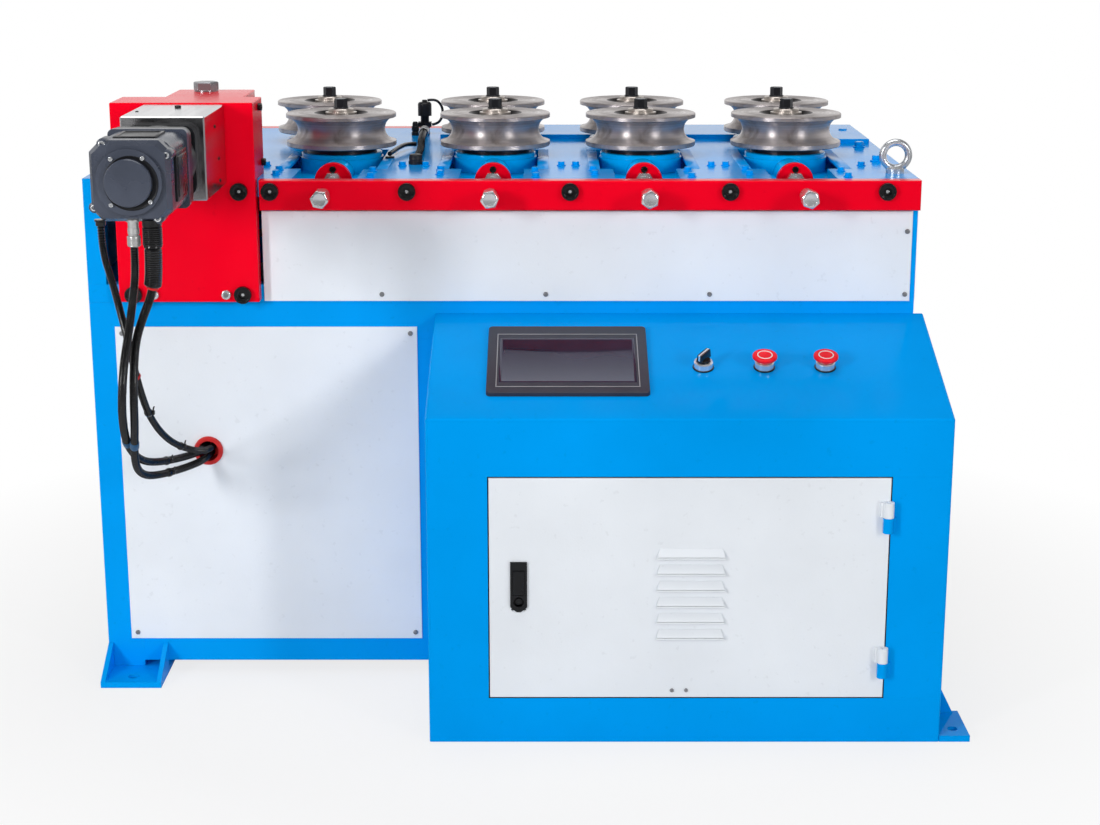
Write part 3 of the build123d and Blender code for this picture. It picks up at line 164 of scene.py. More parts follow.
# Rounded look and rubbed paint along edges
edge_rub, given, out = new_group(
    "edge_rub",
    [("Vector", "Vector", None), ("Radius", "Float", 0.0012)],
    [("Rub", "Float"), ("Normal", "Vector")],
)
round_edge = put(edge_rub, "Bevel", {"Radius": given["Radius"]}, samples=4)
flat_normal = put(edge_rub, "NewGeometry")
facing = put(
    edge_rub, "VectorMath", {0: round_edge.outputs[0], 1: flat_normal.outputs["True Normal"]},
    operation="DOT_PRODUCT",
)
turned_off = spread(edge_rub, facing.outputs["Value"], 1.0, 0.0, 0.82, 0.97)
patches = put(
    edge_rub, "TexNoise", {"Vector": given["Vector"], "Scale": 38.0, "Detail": 5.0, "Roughness": 0.65}
)
patch_mask = spread(edge_rub, patches.outputs[0], 0.0, 1.0, 0.5, 0.68)
rubbed = put(edge_rub, "Math", {0: turned_off, 1: patch_mask}, operation="MULTIPLY")
edge_rub.links.new(rubbed.outputs[0], out["Rub"])
edge_rub.links.new(round_edge.outputs[0], out["Normal"])

# Lines left by the lathe, round an upright axis through the vector's origin
lathe_lines, given, out = new_group(
    "lathe_lines",
    [("Vector", "Vector", None), ("Line scale", "Float", 900.0)],
    [("Lines", "Float"), ("Bands", "Float"), ("Stains", "Float")],
)
parts = put(lathe_lines, "SeparateXYZ", {0: given["Vector"]})
level = put(lathe_lines, "CombineXYZ", {0: parts.outputs[0], 1: parts.outputs[1]})
radius = put(lathe_lines, "VectorMath", {0: level.outputs[0]}, operation="LENGTH")
along = put(lathe_lines, "Math", {0: radius.outputs["Value"], 1: parts.outputs[2]}, operation="ADD")
ridges = put(
    lathe_lines, "TexNoise", {"W": along.outputs[0], "Scale": given["Line scale"], "Detail": 3.0},
    noise_dimensions="1D",
)
bands = put(
    lathe_lines, "TexNoise", {"W": along.outputs[0], "Scale": 95.0, "Detail": 4.0}, noise_dimensions="1D"
)
stains = put(
    lathe_lines, "TexNoise",
    {"Vector": given["Vector"], "Scale": 22.0, "Detail": 5.0, "Roughness": 0.62, "Distortion": 0.6},
)
lathe_lines.links.new(ridges.outputs[0], out["Lines"])
lathe_lines.links.new(bands.outputs[0], out["Bands"])
lathe_lines.links.new(stains.outputs[0], out["Stains"])


def new_finish(name):
    """A material with its object coordinates and its shader."""
    finish = bpy.data.materials.new(name)
    finish.use_nodes = True
    tree = finish.node_tree
    place = put(tree, "TexCoord").outputs["Object"]
    return finish, tree, place, tree.nodes["Principled BSDF"]


def raise_bump(tree, height, strength, distance, normal):
    """A bump on top of a normal."""
    inputs = {"Strength": strength, "Distance": distance, "Height": height, "Normal": normal}
    return put(tree, "Bump", inputs).outputs[0]


def paint(name, colour, rough, peel, coat, chip, wear=0.55, gloss=0.12, sheen=(1.0, 1.0, 1.0)):
    """Sprayed paint: faint clouds, orange peel, rubbed edges."""
    finish, tree, place, shader = new_finish(name)
    noise = use_group(tree, surface_noise, Vector=place, Broad_scale=3.2, Fine_scale=420.0)
    edge = use_group(tree, edge_rub, Vector=place, Radius=0.0012)
    clouds = spread(tree, noise["Broad"], 0.0, 1.0)
    cloud = blend_colour(tree, clouds, shade(colour, 0.93), shade(colour, 1.05))
    specks = spread(tree, noise["Specks"], 0.0, 0.16, 0.0, 1.0)
    speckled = blend_colour(tree, specks, cloud, shade(colour, 0.62))
    rub = spread(tree, edge["Rub"], 0.0, wear, 0.0, 1.0)
    tree.links.new(blend_colour(tree, rub, speckled, chip + (1.0,)), shader.inputs["Base Color"])
    tree.links.new(spread(tree, noise["Broad"], rough - 0.05, rough + 0.07), shader.inputs["Roughness"])
    tree.links.new(raise_bump(tree, noise["Fine"], peel, 0.0012, edge["Normal"]), shader.inputs["Normal"])
    shader.inputs["Coat Weight"].default_value = coat
    shader.inputs["Coat Roughness"].default_value = 0.09
    shader.inputs["Specular IOR Level"].default_value = gloss
    shader.inputs["Specular Tint"].default_value = sheen + (1.0,)
    return finish


def plain_metal(name, colour, rough, tarnish, grain=0.08, stretch=(1.0, 1.0, 1.0), metal=1.0,
                eye_colour=None):
    """Bare or plated metal with fine grain drawn along one way and a cloudy tarnish.

    The lifting eye, which stands on the right of the deck, may have a colour of its own.
    """
    finish, tree, place, shader = new_finish(name)
    drawn = put(tree, "Mapping", {"Vector": place, "Scale": stretch}).outputs[0]
    noise = use_group(tree, surface_noise, Vector=drawn, Broad_scale=26.0, Fine_scale=700.0)
    edge = use_group(tree, edge_rub, Vector=place, Radius=0.0006)
    clouds = spread(tree, noise["Broad"], 0.0, 1.0)
    cloud = blend_colour(tree, clouds, shade(colour, tarnish), shade(colour, 1.08))
    grained = blend_colour(tree, spread(tree, noise["Fine"], 0.0, 0.4), cloud, shade(colour, 0.72))
    if eye_colour:
        spot = put(tree, "SeparateXYZ", {0: place}).outputs
        is_high = put(tree, "Math", {0: spot[2], 1: DECK / 1000}, operation="GREATER_THAN").outputs[0]
        is_right = put(tree, "Math", {0: spot[0], 1: 0.0}, operation="GREATER_THAN").outputs[0]
        on_eye = put(tree, "Math", {0: is_high, 1: is_right}, operation="MULTIPLY").outputs[0]
        bright = blend_colour(tree, clouds, shade(eye_colour, tarnish), shade(eye_colour, 1.08))
        grained = blend_colour(tree, on_eye, grained, bright)
    tree.links.new(grained, shader.inputs["Base Color"])
    tree.links.new(spread(tree, noise["Broad"], rough + 0.1, rough - 0.05), shader.inputs["Roughness"])
    tree.links.new(raise_bump(tree, noise["Fine"], grain, 0.0006, edge["Normal"]), shader.inputs["Normal"])
    shader.inputs["Metallic"].default_value = metal
    return finish


def moulded(name, colour, rough, grain, fine_scale=900.0, coat=0.0, gloss=0.3):
    """Moulded plastic or rubber with a fine grain."""
    finish, tree, place, shader = new_finish(name)
    noise = use_group(tree, surface_noise, Vector=place, Broad_scale=18.0, Fine_scale=fine_scale)
    edge = use_group(tree, edge_rub, Vector=place, Radius=0.0008)
    clouds = spread(tree, noise["Broad"], 0.0, 1.0)
    cloud = blend_colour(tree, clouds, shade(colour, 0.85), shade(colour, 1.12))
    dusty = blend_colour(tree, spread(tree, noise["Specks"], 0.0, 0.12, 0.0, 1.0), cloud, shade(colour, 1.9))
    tree.links.new(dusty, shader.inputs["Base Color"])
    tree.links.new(spread(tree, noise["Broad"], rough - 0.05, rough + 0.08), shader.inputs["Roughness"])
    tree.links.new(raise_bump(tree, noise["Fine"], grain, 0.0005, edge["Normal"]), shader.inputs["Normal"])
    shader.inputs["Coat Weight"].default_value = coat
    shader.inputs["Specular IOR Level"].default_value = gloss
    return finish


def turned_steel(name, x, y, dark, light):
    """A roll's turned steel: lathe lines round its axis, brown smudges and painted shade in the hub's recess.
    """
    finish, tree, place, shader = new_finish(name)
    centred = put(tree, "Mapping", {"Vector": place, "Location": mm(-x, -y, 0.0)}).outputs[0]
    lines = use_group(tree, lathe_lines, Vector=centred, Line_scale=1500.0)
    edge = use_group(tree, edge_rub, Vector=place, Radius=0.0008)
    base = blend_colour(tree, spread(tree, lines["Bands"], 0.0, 1.0), dark + (1.0,), light + (1.0,))
    lined = blend_colour(tree, spread(tree, lines["Lines"], 0.0, 0.5), base, shade(dark, 0.75))
    smudge = spread(tree, lines["Stains"], 0.0, 0.8, 0.5, 0.72)
    stains_and_shade = blend_colour(tree, smudge, lined, shade((0.2, 0.165, 0.15), 1.0))
    spot = put(tree, "SeparateXYZ", {0: centred}).outputs
    level = put(tree, "CombineXYZ", {0: spot[0], 1: spot[1]}).outputs[0]
    reach = put(tree, "VectorMath", {0: level}, operation="LENGTH")
    away = reach.outputs["Value"]
    # Painted shade: the hub's recess round the spindle bolt is darkened to near black.
    is_near = put(tree, "Math", {0: away, 1: HUB_R / 1000}, operation="LESS_THAN").outputs[0]
    is_low = put(tree, "Math", {0: spot[2], 1: HUB_TOP / 1000}, operation="LESS_THAN").outputs[0]
    recess_shade = put(tree, "Math", {0: is_near, 1: is_low}, operation="MULTIPLY").outputs[0]
    stains_and_shade = blend_colour(tree, recess_shade, stains_and_shade, (0.045, 0.04, 0.042, 1))
    bright = spread(tree, edge["Rub"], 0.0, 0.5, 0.0, 1.0)
    tree.links.new(blend_colour(tree, bright, stains_and_shade, shade(light, 1.5)), shader.inputs["Base Color"])
    tree.links.new(spread(tree, lines["Stains"], 0.3, 0.5), shader.inputs["Roughness"])
    tree.links.new(raise_bump(tree, lines["Lines"], 0.18, 0.0006, edge["Normal"]), shader.inputs["Normal"])
    shader.inputs["Metallic"].default_value = 0.7
    shader.inputs["Anisotropic"].default_value = 0.8
    shader.inputs["Anisotropic Rotation"].default_value = 0.25
    return finish


def spindle_finish(name, x, y):
    """A spindle's seal, clamp washer and black bolt, told apart by their height."""
    finish, tree, place, shader = new_finish(name)
    centred = put(tree, "Mapping", {"Vector": place, "Location": mm(-x, -y, 0.0)}).outputs[0]
    lines = use_group(tree, lathe_lines, Vector=centred, Line_scale=1300.0)
    edge = use_group(tree, edge_rub, Vector=place, Radius=0.0007)
    height = put(tree, "SeparateXYZ", {0: place}).outputs[2]
    is_bolt = put(tree, "Math", {0: height, 1: SPINDLE_BOLT_LOW / 1000}, operation="GREATER_THAN").outputs[0]
    is_seal = put(tree, "Math", {0: height, 1: SEAL_TOP / 1000}, operation="LESS_THAN").outputs[0]
    bands = spread(tree, lines["Bands"], 0.0, 1.0)
    steel = blend_colour(tree, bands, (0.42, 0.37, 0.33, 1), (0.66, 0.6, 0.55, 1))
    lined = blend_colour(tree, spread(tree, lines["Lines"], 0.0, 0.45), steel, (0.3, 0.26, 0.23, 1))
    topped = blend_colour(tree, is_bolt, lined, (0.035, 0.037, 0.043, 1))
    tree.links.new(blend_colour(tree, is_seal, topped, (0.03, 0.03, 0.034, 1)), shader.inputs["Base Color"])
    tree.links.new(spread(tree, lines["Stains"], 0.24, 0.42), shader.inputs["Roughness"])
    tree.links.new(raise_bump(tree, lines["Lines"], 0.12, 0.0005, edge["Normal"]), shader.inputs["Normal"])
    shader.inputs["Metallic"].default_value = 0.9
    return finish


BLUE, BLUE_CHIP, BLUE_SHEEN = (0.0, 0.33, 0.87), (0.02, 0.1, 0.26), (0.1, 0.55, 1.0)
RED = (0.9, 0.0, 0.015)
PALE, PALE_CHIP = (0.745, 0.78, 0.823), (0.45, 0.47, 0.5)
ZINC = (0.78, 0.8, 0.83)
ROLL_DARK, ROLL_LIGHT = (0.36, 0.32, 0.312), (0.6, 0.545, 0.53)
finishes = {
    "blue_paint": paint("blue_paint", BLUE, rough=0.15, peel=0.06, coat=0.03, chip=BLUE_CHIP,
                        sheen=BLUE_SHEEN),
    # The carriages' blue is a lighter copy of the frame's blue: painted light on the carriages, which stand
    # in the rolls' shade.
    "carriage_lit_paint": paint("carriage_lit_paint", (0.0, 0.46, 1.0), rough=0.12, peel=0.05, coat=0.1,
                            chip=BLUE_CHIP, sheen=BLUE_SHEEN, gloss=0.3),
    # The console's blue is a darker copy of the frame's blue: painted shade.
    "console_shaded_paint": paint("console_shaded_paint", shade(BLUE, 0.94)[:3], rough=0.12, peel=0.05, coat=0.0,
                           chip=BLUE_CHIP, sheen=BLUE_SHEEN, gloss=0.04),
    "pale_paint": paint("pale_paint", PALE, rough=0.42, peel=0.12, coat=0.0, chip=PALE_CHIP,
                        wear=0.3),
    # The cover panels' pale paint is a lighter copy of the door's: painted light that makes up for the shade
    # the console and motor throw on them.
    "panel_lit_paint": paint("panel_lit_paint", shade(PALE, 1.09)[:3], rough=0.42, peel=0.12, coat=0.0,
                         chip=PALE_CHIP, wear=0.3),
    "red_paint": paint("red_paint", RED, rough=0.2, peel=0.06, coat=0.03, chip=(0.45, 0.12, 0.12),
                       sheen=(1.0, 0.2, 0.25), gloss=0.22),
    "black_bolt": moulded("black_bolt", (0.006, 0.006, 0.007), rough=0.15, grain=0.03, gloss=0.3),
    "zinc": plain_metal("zinc", ZINC, rough=0.2, grain=0.12, tarnish=0.66, metal=0.8),
    "panel_screw": plain_metal("panel_screw", (0.34, 0.35, 0.37), rough=0.26, grain=0.12, tarnish=0.6,
                               metal=0.8, eye_colour=ZINC),
    "nickel_steel": plain_metal("nickel_steel", (0.6, 0.6, 0.62), rough=0.16, grain=0.03, tarnish=0.86,
                                stretch=(1.0, 0.04, 1.0)),
    "black_cast": moulded("black_cast", (0.012, 0.0125, 0.015), rough=0.3, grain=0.25,
                          fine_scale=520.0, gloss=0.25),
    "motor_paint": moulded("motor_paint", (0.052, 0.062, 0.09), rough=0.28, grain=0.14,
                           fine_scale=750.0, gloss=0.5),
    "connector_metal": plain_metal("connector_metal", (0.66, 0.66, 0.66), rough=0.26, tarnish=0.8, metal=0.6),
    "shaft_steel": plain_metal("shaft_steel", (0.42, 0.42, 0.44), rough=0.34, tarnish=0.7),
    "cable_black": moulded("cable_black", (0.005, 0.005, 0.006), rough=0.2, grain=0.1,
                           fine_scale=1400.0, gloss=0.5),
    "red_rubber": moulded("red_rubber", (0.62, 0.02, 0.02), rough=0.55, grain=0.15),
    "screen_case": moulded("screen_case", (0.034, 0.035, 0.05), rough=0.36, grain=0.2, fine_scale=1100.0),
    "bezel_chrome": plain_metal("bezel_chrome", (0.86, 0.86, 0.88), rough=0.16, grain=0.03,
                                tarnish=0.88, metal=0.7),
    "knob_black": moulded("knob_black", (0.01, 0.01, 0.012), rough=0.2, grain=0.04, coat=0.1, gloss=0.3),
    "mushroom_red": moulded("mushroom_red", (0.84, 0.006, 0.016), rough=0.24, grain=0.03, coat=0.05,
                            gloss=0.22),
    "lock_black": moulded("lock_black", (0.01, 0.0105, 0.012), rough=0.3, grain=0.08, gloss=0.22),
    "electrics_grey": moulded("electrics_grey", (0.34, 0.36, 0.39), rough=0.45, grain=0.1),
    "sensor_black": moulded("sensor_black", (0.018, 0.018, 0.021), rough=0.28, grain=0.08, gloss=0.25),
}
slot_of = {part["node"]: part["material_slot"] for part in frame["record"]["subparts"]}
for name, node in nodes.items():
    node.data.materials.clear()
    number = int(name[-1]) - 1 if name[-1].isdigit() else 0
    row = REAR_AXES if name.startswith("rear") else FRONT_AXES
    depth = REAR_ROW if name.startswith("rear") else FRONT_ROW
    if slot_of[name] == "roll_steel":
        steel = turned_steel(name + "_steel", row[number], depth, ROLL_DARK, ROLL_LIGHT)
        node.data.materials.append(steel)
    elif slot_of[name] == "spindle_steel":
        node.data.materials.append(spindle_finish(name + "_steel", row[number], depth))
    elif name.startswith("carriage"):
        node.data.materials.append(finishes["carriage_lit_paint"])
    elif name == "cover_panels":
        node.data.materials.append(finishes["panel_lit_paint"])
    elif name == "console_shell":
        node.data.materials.append(finishes["console_shaded_paint"])
    elif name == "plated_fasteners":
        node.data.materials.append(finishes["panel_screw"])
    else:
        node.data.materials.append(finishes[slot_of[name]])


# Handling pieces
def rest():
    """Leave edit mode with nothing selected."""
    if bpy.context.mode != "OBJECT":
        bpy.ops.object.mode_set(mode="OBJECT")
    bpy.ops.object.select_all(action="DESELECT")


def pick(piece):
    """Leave edit mode with one piece selected and active."""
    rest()
    piece.select_set(True)
    bpy.context.view_layer.objects.active = piece


def dress(piece, slot, body="machine", finish=None, crease=35.0):
    """Give a piece its finish, its smooth faces and the body it moves with."""
    piece.data.materials.clear()
    piece.data.materials.append(finish or finishes[slot])
    pick(piece)
    bpy.ops.object.shade_smooth_by_angle(angle=math.radians(crease))
    rest()
    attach(piece, body)
    return piece


# Cords
def cord_line(route, fineness):
    """The points of the smooth line that a route's control points give."""
    curve = bpy.data.curves.new("route", "CURVE")
    curve.dimensions = "3D"
    curve.resolution_u = fineness
    spline = curve.splines.new("NURBS")
    spline.points.add(len(route) - 1)
    for point, place in zip(spline.points, route):
        point.co = (*place, 1.0)
    spline.order_u = 3
    spline.use_endpoint_u = True
    spline.resolution_u = fineness
    line = bpy.data.objects.new("route", curve)
    room.collection.objects.link(line)
    bpy.context.view_layer.update()
    drawn = bpy.data.meshes.new_from_object(line)
    points = [vertex.co.copy() for vertex in drawn.vertices]
    bpy.data.objects.remove(line)
    bpy.data.meshes.remove(drawn)
    return points


def tube(name, points, radii, sides):
    """A closed tube along points with its own radius at each of them."""
    heading = (points[1] - points[0]).normalized()
    side = heading.orthogonal().normalized()
    corners, faces = [], []
    for number, point in enumerate(points):
        ahead = points[min(number + 1, len(points) - 1)]
        behind = points[max(number - 1, 0)]
        turned = (ahead - behind).normalized()
        side = (heading.rotation_difference(turned) @ side).normalized()
        heading = turned
        other = heading.cross(side)
        for step in range(sides):
            angle = 2 * math.pi * step / sides
            corners.append(point + radii[number] * (math.cos(angle) * side + math.sin(angle) * other))
    for ring in range(len(points) - 1):
        for step in range(sides):
            following = (step + 1) % sides
            faces.append((
                ring * sides + step, ring * sides + following,
                (ring + 1) * sides + following, (ring + 1) * sides + step,
            ))
    faces.append(tuple(reversed(range(sides))))
    faces.append(tuple(range((len(points) - 1) * sides, len(points) * sides)))
    mesh = bpy.data.meshes.new(name)
    mesh.from_pydata(corners, [], faces)
    piece = bpy.data.objects.new(name, mesh)
    room.collection.objects.link(piece)
    return piece


def from_corner(route):
    """Route points given from the front left corner, in the whole frame."""
    return [(LEFT + x, FRONT + y, z) for x, y, z in route]


# Kinds of cord: points to each control point, depth of the ribs, stiffness and lay
MOTOR_LEAD = (34, 1.3, "medium", "hanging")
CONDUIT = (60, 0.7, "limp", "loose")
WIRE = (10, 0.0, "limp", "loose")
CORD_SIDES = 14
SENSOR_X, SENSOR_Y, LEAD_Z = -190.0, 445.5, 906.0
GLAND_X, GLAND_Y, CONDUIT_Z = -179.0, 0.5, 850.3

# Each cord's diameter, length, kind and route, in millimetres
cords = {
    "motor_cable_1": (11.0, 716.6, MOTOR_LEAD, from_corner([
        (127, -446, 838), (127, -446, 800), (138, -442, 757), (144, -429, 712), (148, -405, 661.6),
        (147.5, -370, 610.9), (145.9, -320, 559.5), (143.2, -260, 514.9), (144.6, -190, 471),
        (151, -120, 434), (172, -64, 407), (191, -20, 396), (191, 28, 396),
    ])),
    "motor_cable_2": (12.5, 741.0, MOTOR_LEAD, from_corner([
        (172, -446, 808), (172, -446, 772), (166.5, -446, 734), (156, -441, 680.9), (144.8, -429, 636.2),
        (134.5, -406, 585.1), (124.4, -366, 534.5), (114.8, -300, 481.8), (112, -215, 436),
        (118, -132, 406), (150, -60, 394), (177, -20, 395), (177, 28, 395),
    ])),
    "motor_cable_3": (12.5, 752.9, MOTOR_LEAD, from_corner([
        (198, -446, 806), (198, -446, 772), (192, -443, 738), (177.5, -434, 707.8), (163, -424, 671.5),
        (155, -410, 630.9), (147, -386, 579), (138, -347, 522), (122, -288, 457), (111, -208, 411),
        (117, -130, 383), (155, -60, 377), (184.5, -20, 382), (184.5, 28, 382),
    ])),
    "sensor_lead": (5.0, 77.9, WIRE, [
        (SENSOR_X + x, SENSOR_Y, LEAD_Z + z) for x, z in (
            (5.5, 0.0), (16.0, 1.5), (26.0, -2.0), (33.0, -12.0), (34.5, -25.0), (30.5, -37.0), (22.5, -44.5),
            (13.5, -46.0),
        )
    ]),
    "sensor_conduit": (13.0, 383.3, CONDUIT, [
        (GLAND_X, GLAND_Y + 12.0, CONDUIT_Z), (GLAND_X + 1.0, GLAND_Y + 90.0, CONDUIT_Z),
        (GLAND_X - 2.0, GLAND_Y + 190.0, CONDUIT_Z), (GLAND_X - 9.0, GLAND_Y + 290.0, CONDUIT_Z),
        (SENSOR_X, SENSOR_Y - 50.0, CONDUIT_Z),
    ]),
    "sensor_branch": (8.0, 140.0, WIRE, [
        (GLAND_X + x, GLAND_Y + y, CONDUIT_Z + z) for x, y, z in (
            (-14.5, 214.0, 0.0), (-21.5, 205.0, 1.0), (-28.0, 188.0, 2.5), (-34.0, 165.0, 3.0),
            (-40.0, 138.0, 2.0), (-45.0, 110.0, 0.5), (-50.0, 80.0, -0.8),
        )
    ]),
}
cord_points = {}
cord_sleeves = {}
for name, (thick, length, (fineness, rib, stiffness, lay), route) in cords.items():
    points = cord_line([mm(*place) for place in route], fineness)
    radii = [(thick / 2 - (rib if number % 2 else 0.0)) / 1000 for number in range(len(points))]
    sleeve = dress(tube(name + "_sleeve", points, radii, CORD_SIDES), "cable_black", crease=20.0)
    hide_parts(name)
    cord_points[name] = points
    cord_sleeves[name] = (sleeve, thick, length, stiffness, lay)
on_cord = {name: [] for name in cord_sleeves}


# Modelling helpers
SHARP_ANGLE = 40.0
TURNS = {"Y": (math.pi / 2, 0.0, 0.0), "Z": (0.0, 0.0, 0.0)}


def take(name):
    """Name the new primitive and put its place into its mesh."""
    piece = bpy.context.object
    piece.name = name
    piece.data.name = name
    bpy.ops.object.transform_apply(location=True, rotation=True, scale=True)
    return piece


def drum(name, centre, radius, depth, sides, along="Z"):
    """A round or many-sided bar, in millimetres."""
    rest()
    bpy.ops.mesh.primitive_cylinder_add(
        vertices=sides, radius=radius / 1000, depth=depth / 1000, location=mm(*centre), rotation=TURNS[along]
    )
    return take(name)


def block(name, low, high):
    """A block between two corners, in millimetres."""
    rest()
    middle = [(a + b) / 2000 for a, b in zip(low, high)]
    size = [(b - a) / 1000 for a, b in zip(low, high)]
    bpy.ops.mesh.primitive_cube_add(size=1.0, location=middle, scale=size)
    return take(name)


def choose(piece, kind, test):
    """Go into edit mode with the faces or edges selected that pass a test on their places."""
    pick(piece)
    bpy.ops.object.mode_set(mode="EDIT")
    bpy.ops.mesh.select_mode(type=kind)
    bpy.ops.mesh.select_all(action="DESELECT")
    bpy.ops.object.mode_set(mode="OBJECT")
    if kind == "FACE":
        for face in piece.data.polygons:
            face.select = test(face.center * 1000, face.normal)
    else:
        for edge in piece.data.edges:
            start, end = (piece.data.vertices[corner].co * 1000 for corner in edge.vertices)
            edge.select = test(start, end)
    bpy.ops.object.mode_set(mode="EDIT")


def inset(width):
    """Inset the selected faces, in millimetres."""
    bpy.ops.mesh.inset(thickness=width / 1000)


def push(x, y, z):
    """Extrude the selected faces and move them, in millimetres."""
    bpy.ops.mesh.extrude_region_move(TRANSFORM_OT_translate={"value": mm(x, y, z)})


def ease(piece, width, segments):
    """Round the sharp edges of a piece."""
    pick(piece)
    rounding = piece.modifiers.new("rounding", "BEVEL")
    rounding.width = width / 1000
    rounding.segments = segments
    rounding.limit_method = "ANGLE"
    rounding.angle_limit = math.radians(SHARP_ANGLE)
    bpy.ops.object.modifier_apply(modifier="rounding")
    rest()
    return piece


def give_wall(piece, thickness, way):
    """Thicken an open rim outwards (1) or inwards (-1)."""
    pick(piece)
    wall = piece.modifiers.new("wall", "SOLIDIFY")
    wall.thickness = thickness / 1000
    wall.offset = way
    bpy.ops.object.modifier_apply(modifier="wall")


def merge(name, pieces):
    """Join pieces into one."""
    rest()
    for piece in pieces:
        piece.select_set(True)
    bpy.context.view_layer.objects.active = pieces[0]
    if len(pieces) > 1:
        bpy.ops.object.join()
    pieces[0].name = name
    pieces[0].data.name = name
    rest()
    return pieces[0]


def twin(master, name, spot, facing=(0.0, 0.0, 1.0), spin=0.0, size=1.0):
    """A copy of a piece modelled upwards at the origin, put at a spot in millimetres to face a way."""
    turn = Vector((0.0, 0.0, 1.0)).rotation_difference(Vector(facing)).to_matrix().to_4x4()
    spun = Matrix.Rotation(math.radians(spin), 4, "Z")
    place = Matrix.Translation(mm(*spot)) @ turn @ spun @ Matrix.Scale(size, 4)
    copy = master.copy()
    copy.data = master.data.copy()
    copy.data.transform(place)
    copy.name = name
    copy.data.name = name
    room.collection.objects.link(copy)
    return copy


def put_away(*masters):
    """Remove patterns that have been copied."""
    for master in masters:
        bpy.data.objects.remove(master)


def turned(name, spot, profile, sides=40):
    """A turned piece: a profile of radius and drop below the spot, spun round the upright axis."""
    rest()
    mesh = bpy.data.meshes.new(name)
    corners = [mm(spot[0] + radius, spot[1], spot[2] - drop) for radius, drop in profile]
    mesh.from_pydata(corners, [(step, step + 1) for step in range(len(corners) - 1)], [])
    piece = bpy.data.objects.new(name, mesh)
    room.collection.objects.link(piece)
    pick(piece)
    bpy.ops.object.mode_set(mode="EDIT")
    bpy.ops.mesh.select_all(action="SELECT")
    bpy.ops.mesh.spin(steps=sides, angle=2 * math.pi, center=mm(*spot), axis=(0, 0, 1))
    bpy.ops.mesh.select_all(action="SELECT")
    bpy.ops.mesh.remove_doubles(threshold=0.00002)
    bpy.ops.mesh.normals_make_consistent(inside=False)
    rest()
    return piece


def carve(piece, tool, way="DIFFERENCE"):
    """Cut a piece with another closed one, or keep only what lies in it."""
    pick(piece)
    cut = piece.modifiers.new("cut", "BOOLEAN")
    cut.operation = way
    cut.object = tool
    bpy.ops.object.modifier_apply(modifier="cut")
    put_away(tool)
    return piece


# Screws and bolts, modelled once
def socket_screw(name, radius, height, socket):
    """A round head with a hexagon socket, base at the origin."""
    head = ease(drum(name, (0, 0, height / 2), radius, height, sides=36), radius * 0.14, 3)
    return carve(head, drum("socket", (0, 0, height), socket, height * 1.3, sides=6))


def hex_bolt(name, across, height, washer_r, washer_h):
    """A hexagon head with a crowned top on a plain washer, base at the origin."""
    head = drum(name, (0, 0, washer_h + height / 2), across / math.sqrt(3), height, sides=6)
    choose(head, "FACE", lambda spot, normal: normal.z > 0.9)
    inset(across * 0.07)
    push(0, 0, height * 0.1)
    inset(across * 0.1)
    ease(head, across * 0.03, 2)
    washer = drum(name + "_washer", (0, 0, washer_h / 2), washer_r, washer_h, sides=36)
    ease(washer, washer_h * 0.3, 2)
    return merge(name, [head, washer])


small_socket = socket_screw("small_socket", 5.0, 3.6, 2.9)
deck_bolt = hex_bolt("deck_bolt", 13.0, 6.4, 9.5, 1.8)

# Painted bolts that hold the slide covers and the edge strips to the deck
bolts = []
bolt_spots = [(-84, -132), (-86, -76), (70, -90), (72, -160), (114, -20), (-114, -20)]
for number, axis in enumerate(FRONT_AXES):
    for step, (across, ahead) in enumerate(bolt_spots):
        spot = (axis + across, ahead, DECK)
        bolts.append(twin(deck_bolt, "bolt", spot, spin=17 * number + 23 * step, size=0.8))
for step, y in enumerate((39, 237, 447)):
    bolts.append(twin(deck_bolt, "bolt", (606, y, DECK), spin=19 * step, size=1.15))
dress(merge("deck_bolts", bolts), "blue_paint")

# Strips that close the deck's windows beside the carriages
STRIP_OUT, STRIP_HALF = 83.0, 9.2
strips = [
    ease(block("strip", (x - STRIP_HALF, -60.6, 837.5), (x + STRIP_HALF, 202.6, DECK + 0.2)), 0.5, 2)
    for axis in FRONT_AXES for x in (axis - STRIP_OUT, axis + STRIP_OUT)
]
dress(merge("slide_covers", strips), "blue_paint")

# Black socket bolts of the rail and of the drive head's flange, with dished faces
bolt_head = drum("bolt_head", (0, 0, 4.5), 14.0, 9.0, sides=48)
choose(bolt_head, "FACE", lambda spot, normal: normal.z > 0.9)
inset(3.4)
push(0, 0, -1.5)
ease(bolt_head, 1.3, 3)
carve(bolt_head, drum("socket", (0, 0, 9.0), 6.8, 13.0, sides=6))
places = [(x, RAIL_BOLT_Z) for x in (-398, -180, 80, 335, 585)]
places += [(x, z) for x in (-623, -447) for z in (FLANGE_LOW_Z, RAIL_BOLT_Z)]
heads = [
    twin(bolt_head, "bolt", (x, RAIL_FACE, z), FORWARD, spin=31 * number)
    for number, (x, z) in enumerate(places)
]
rail_bolts = dress(merge("socket_bolts", heads), "black_bolt")
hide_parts("rail_bolts")

# Bright plated dots at the bottom of the bolts' sockets: painted highlight, standing for the glint inside
# each socket
socket_glint = drum("socket_glint", (0, 0, 2.8), 2.6, 1.0, sides=20)
choose(socket_glint, "FACE", lambda spot, normal: normal.z > 0.9)
inset(0.8)
push(0, 0, 0.8)
glint_dots = [twin(socket_glint, "end", (x, RAIL_FACE, z), FORWARD) for x, z in places]
dress(merge("bolt_socket_glints", glint_dots), "zinc")
put_away(bolt_head, socket_glint)

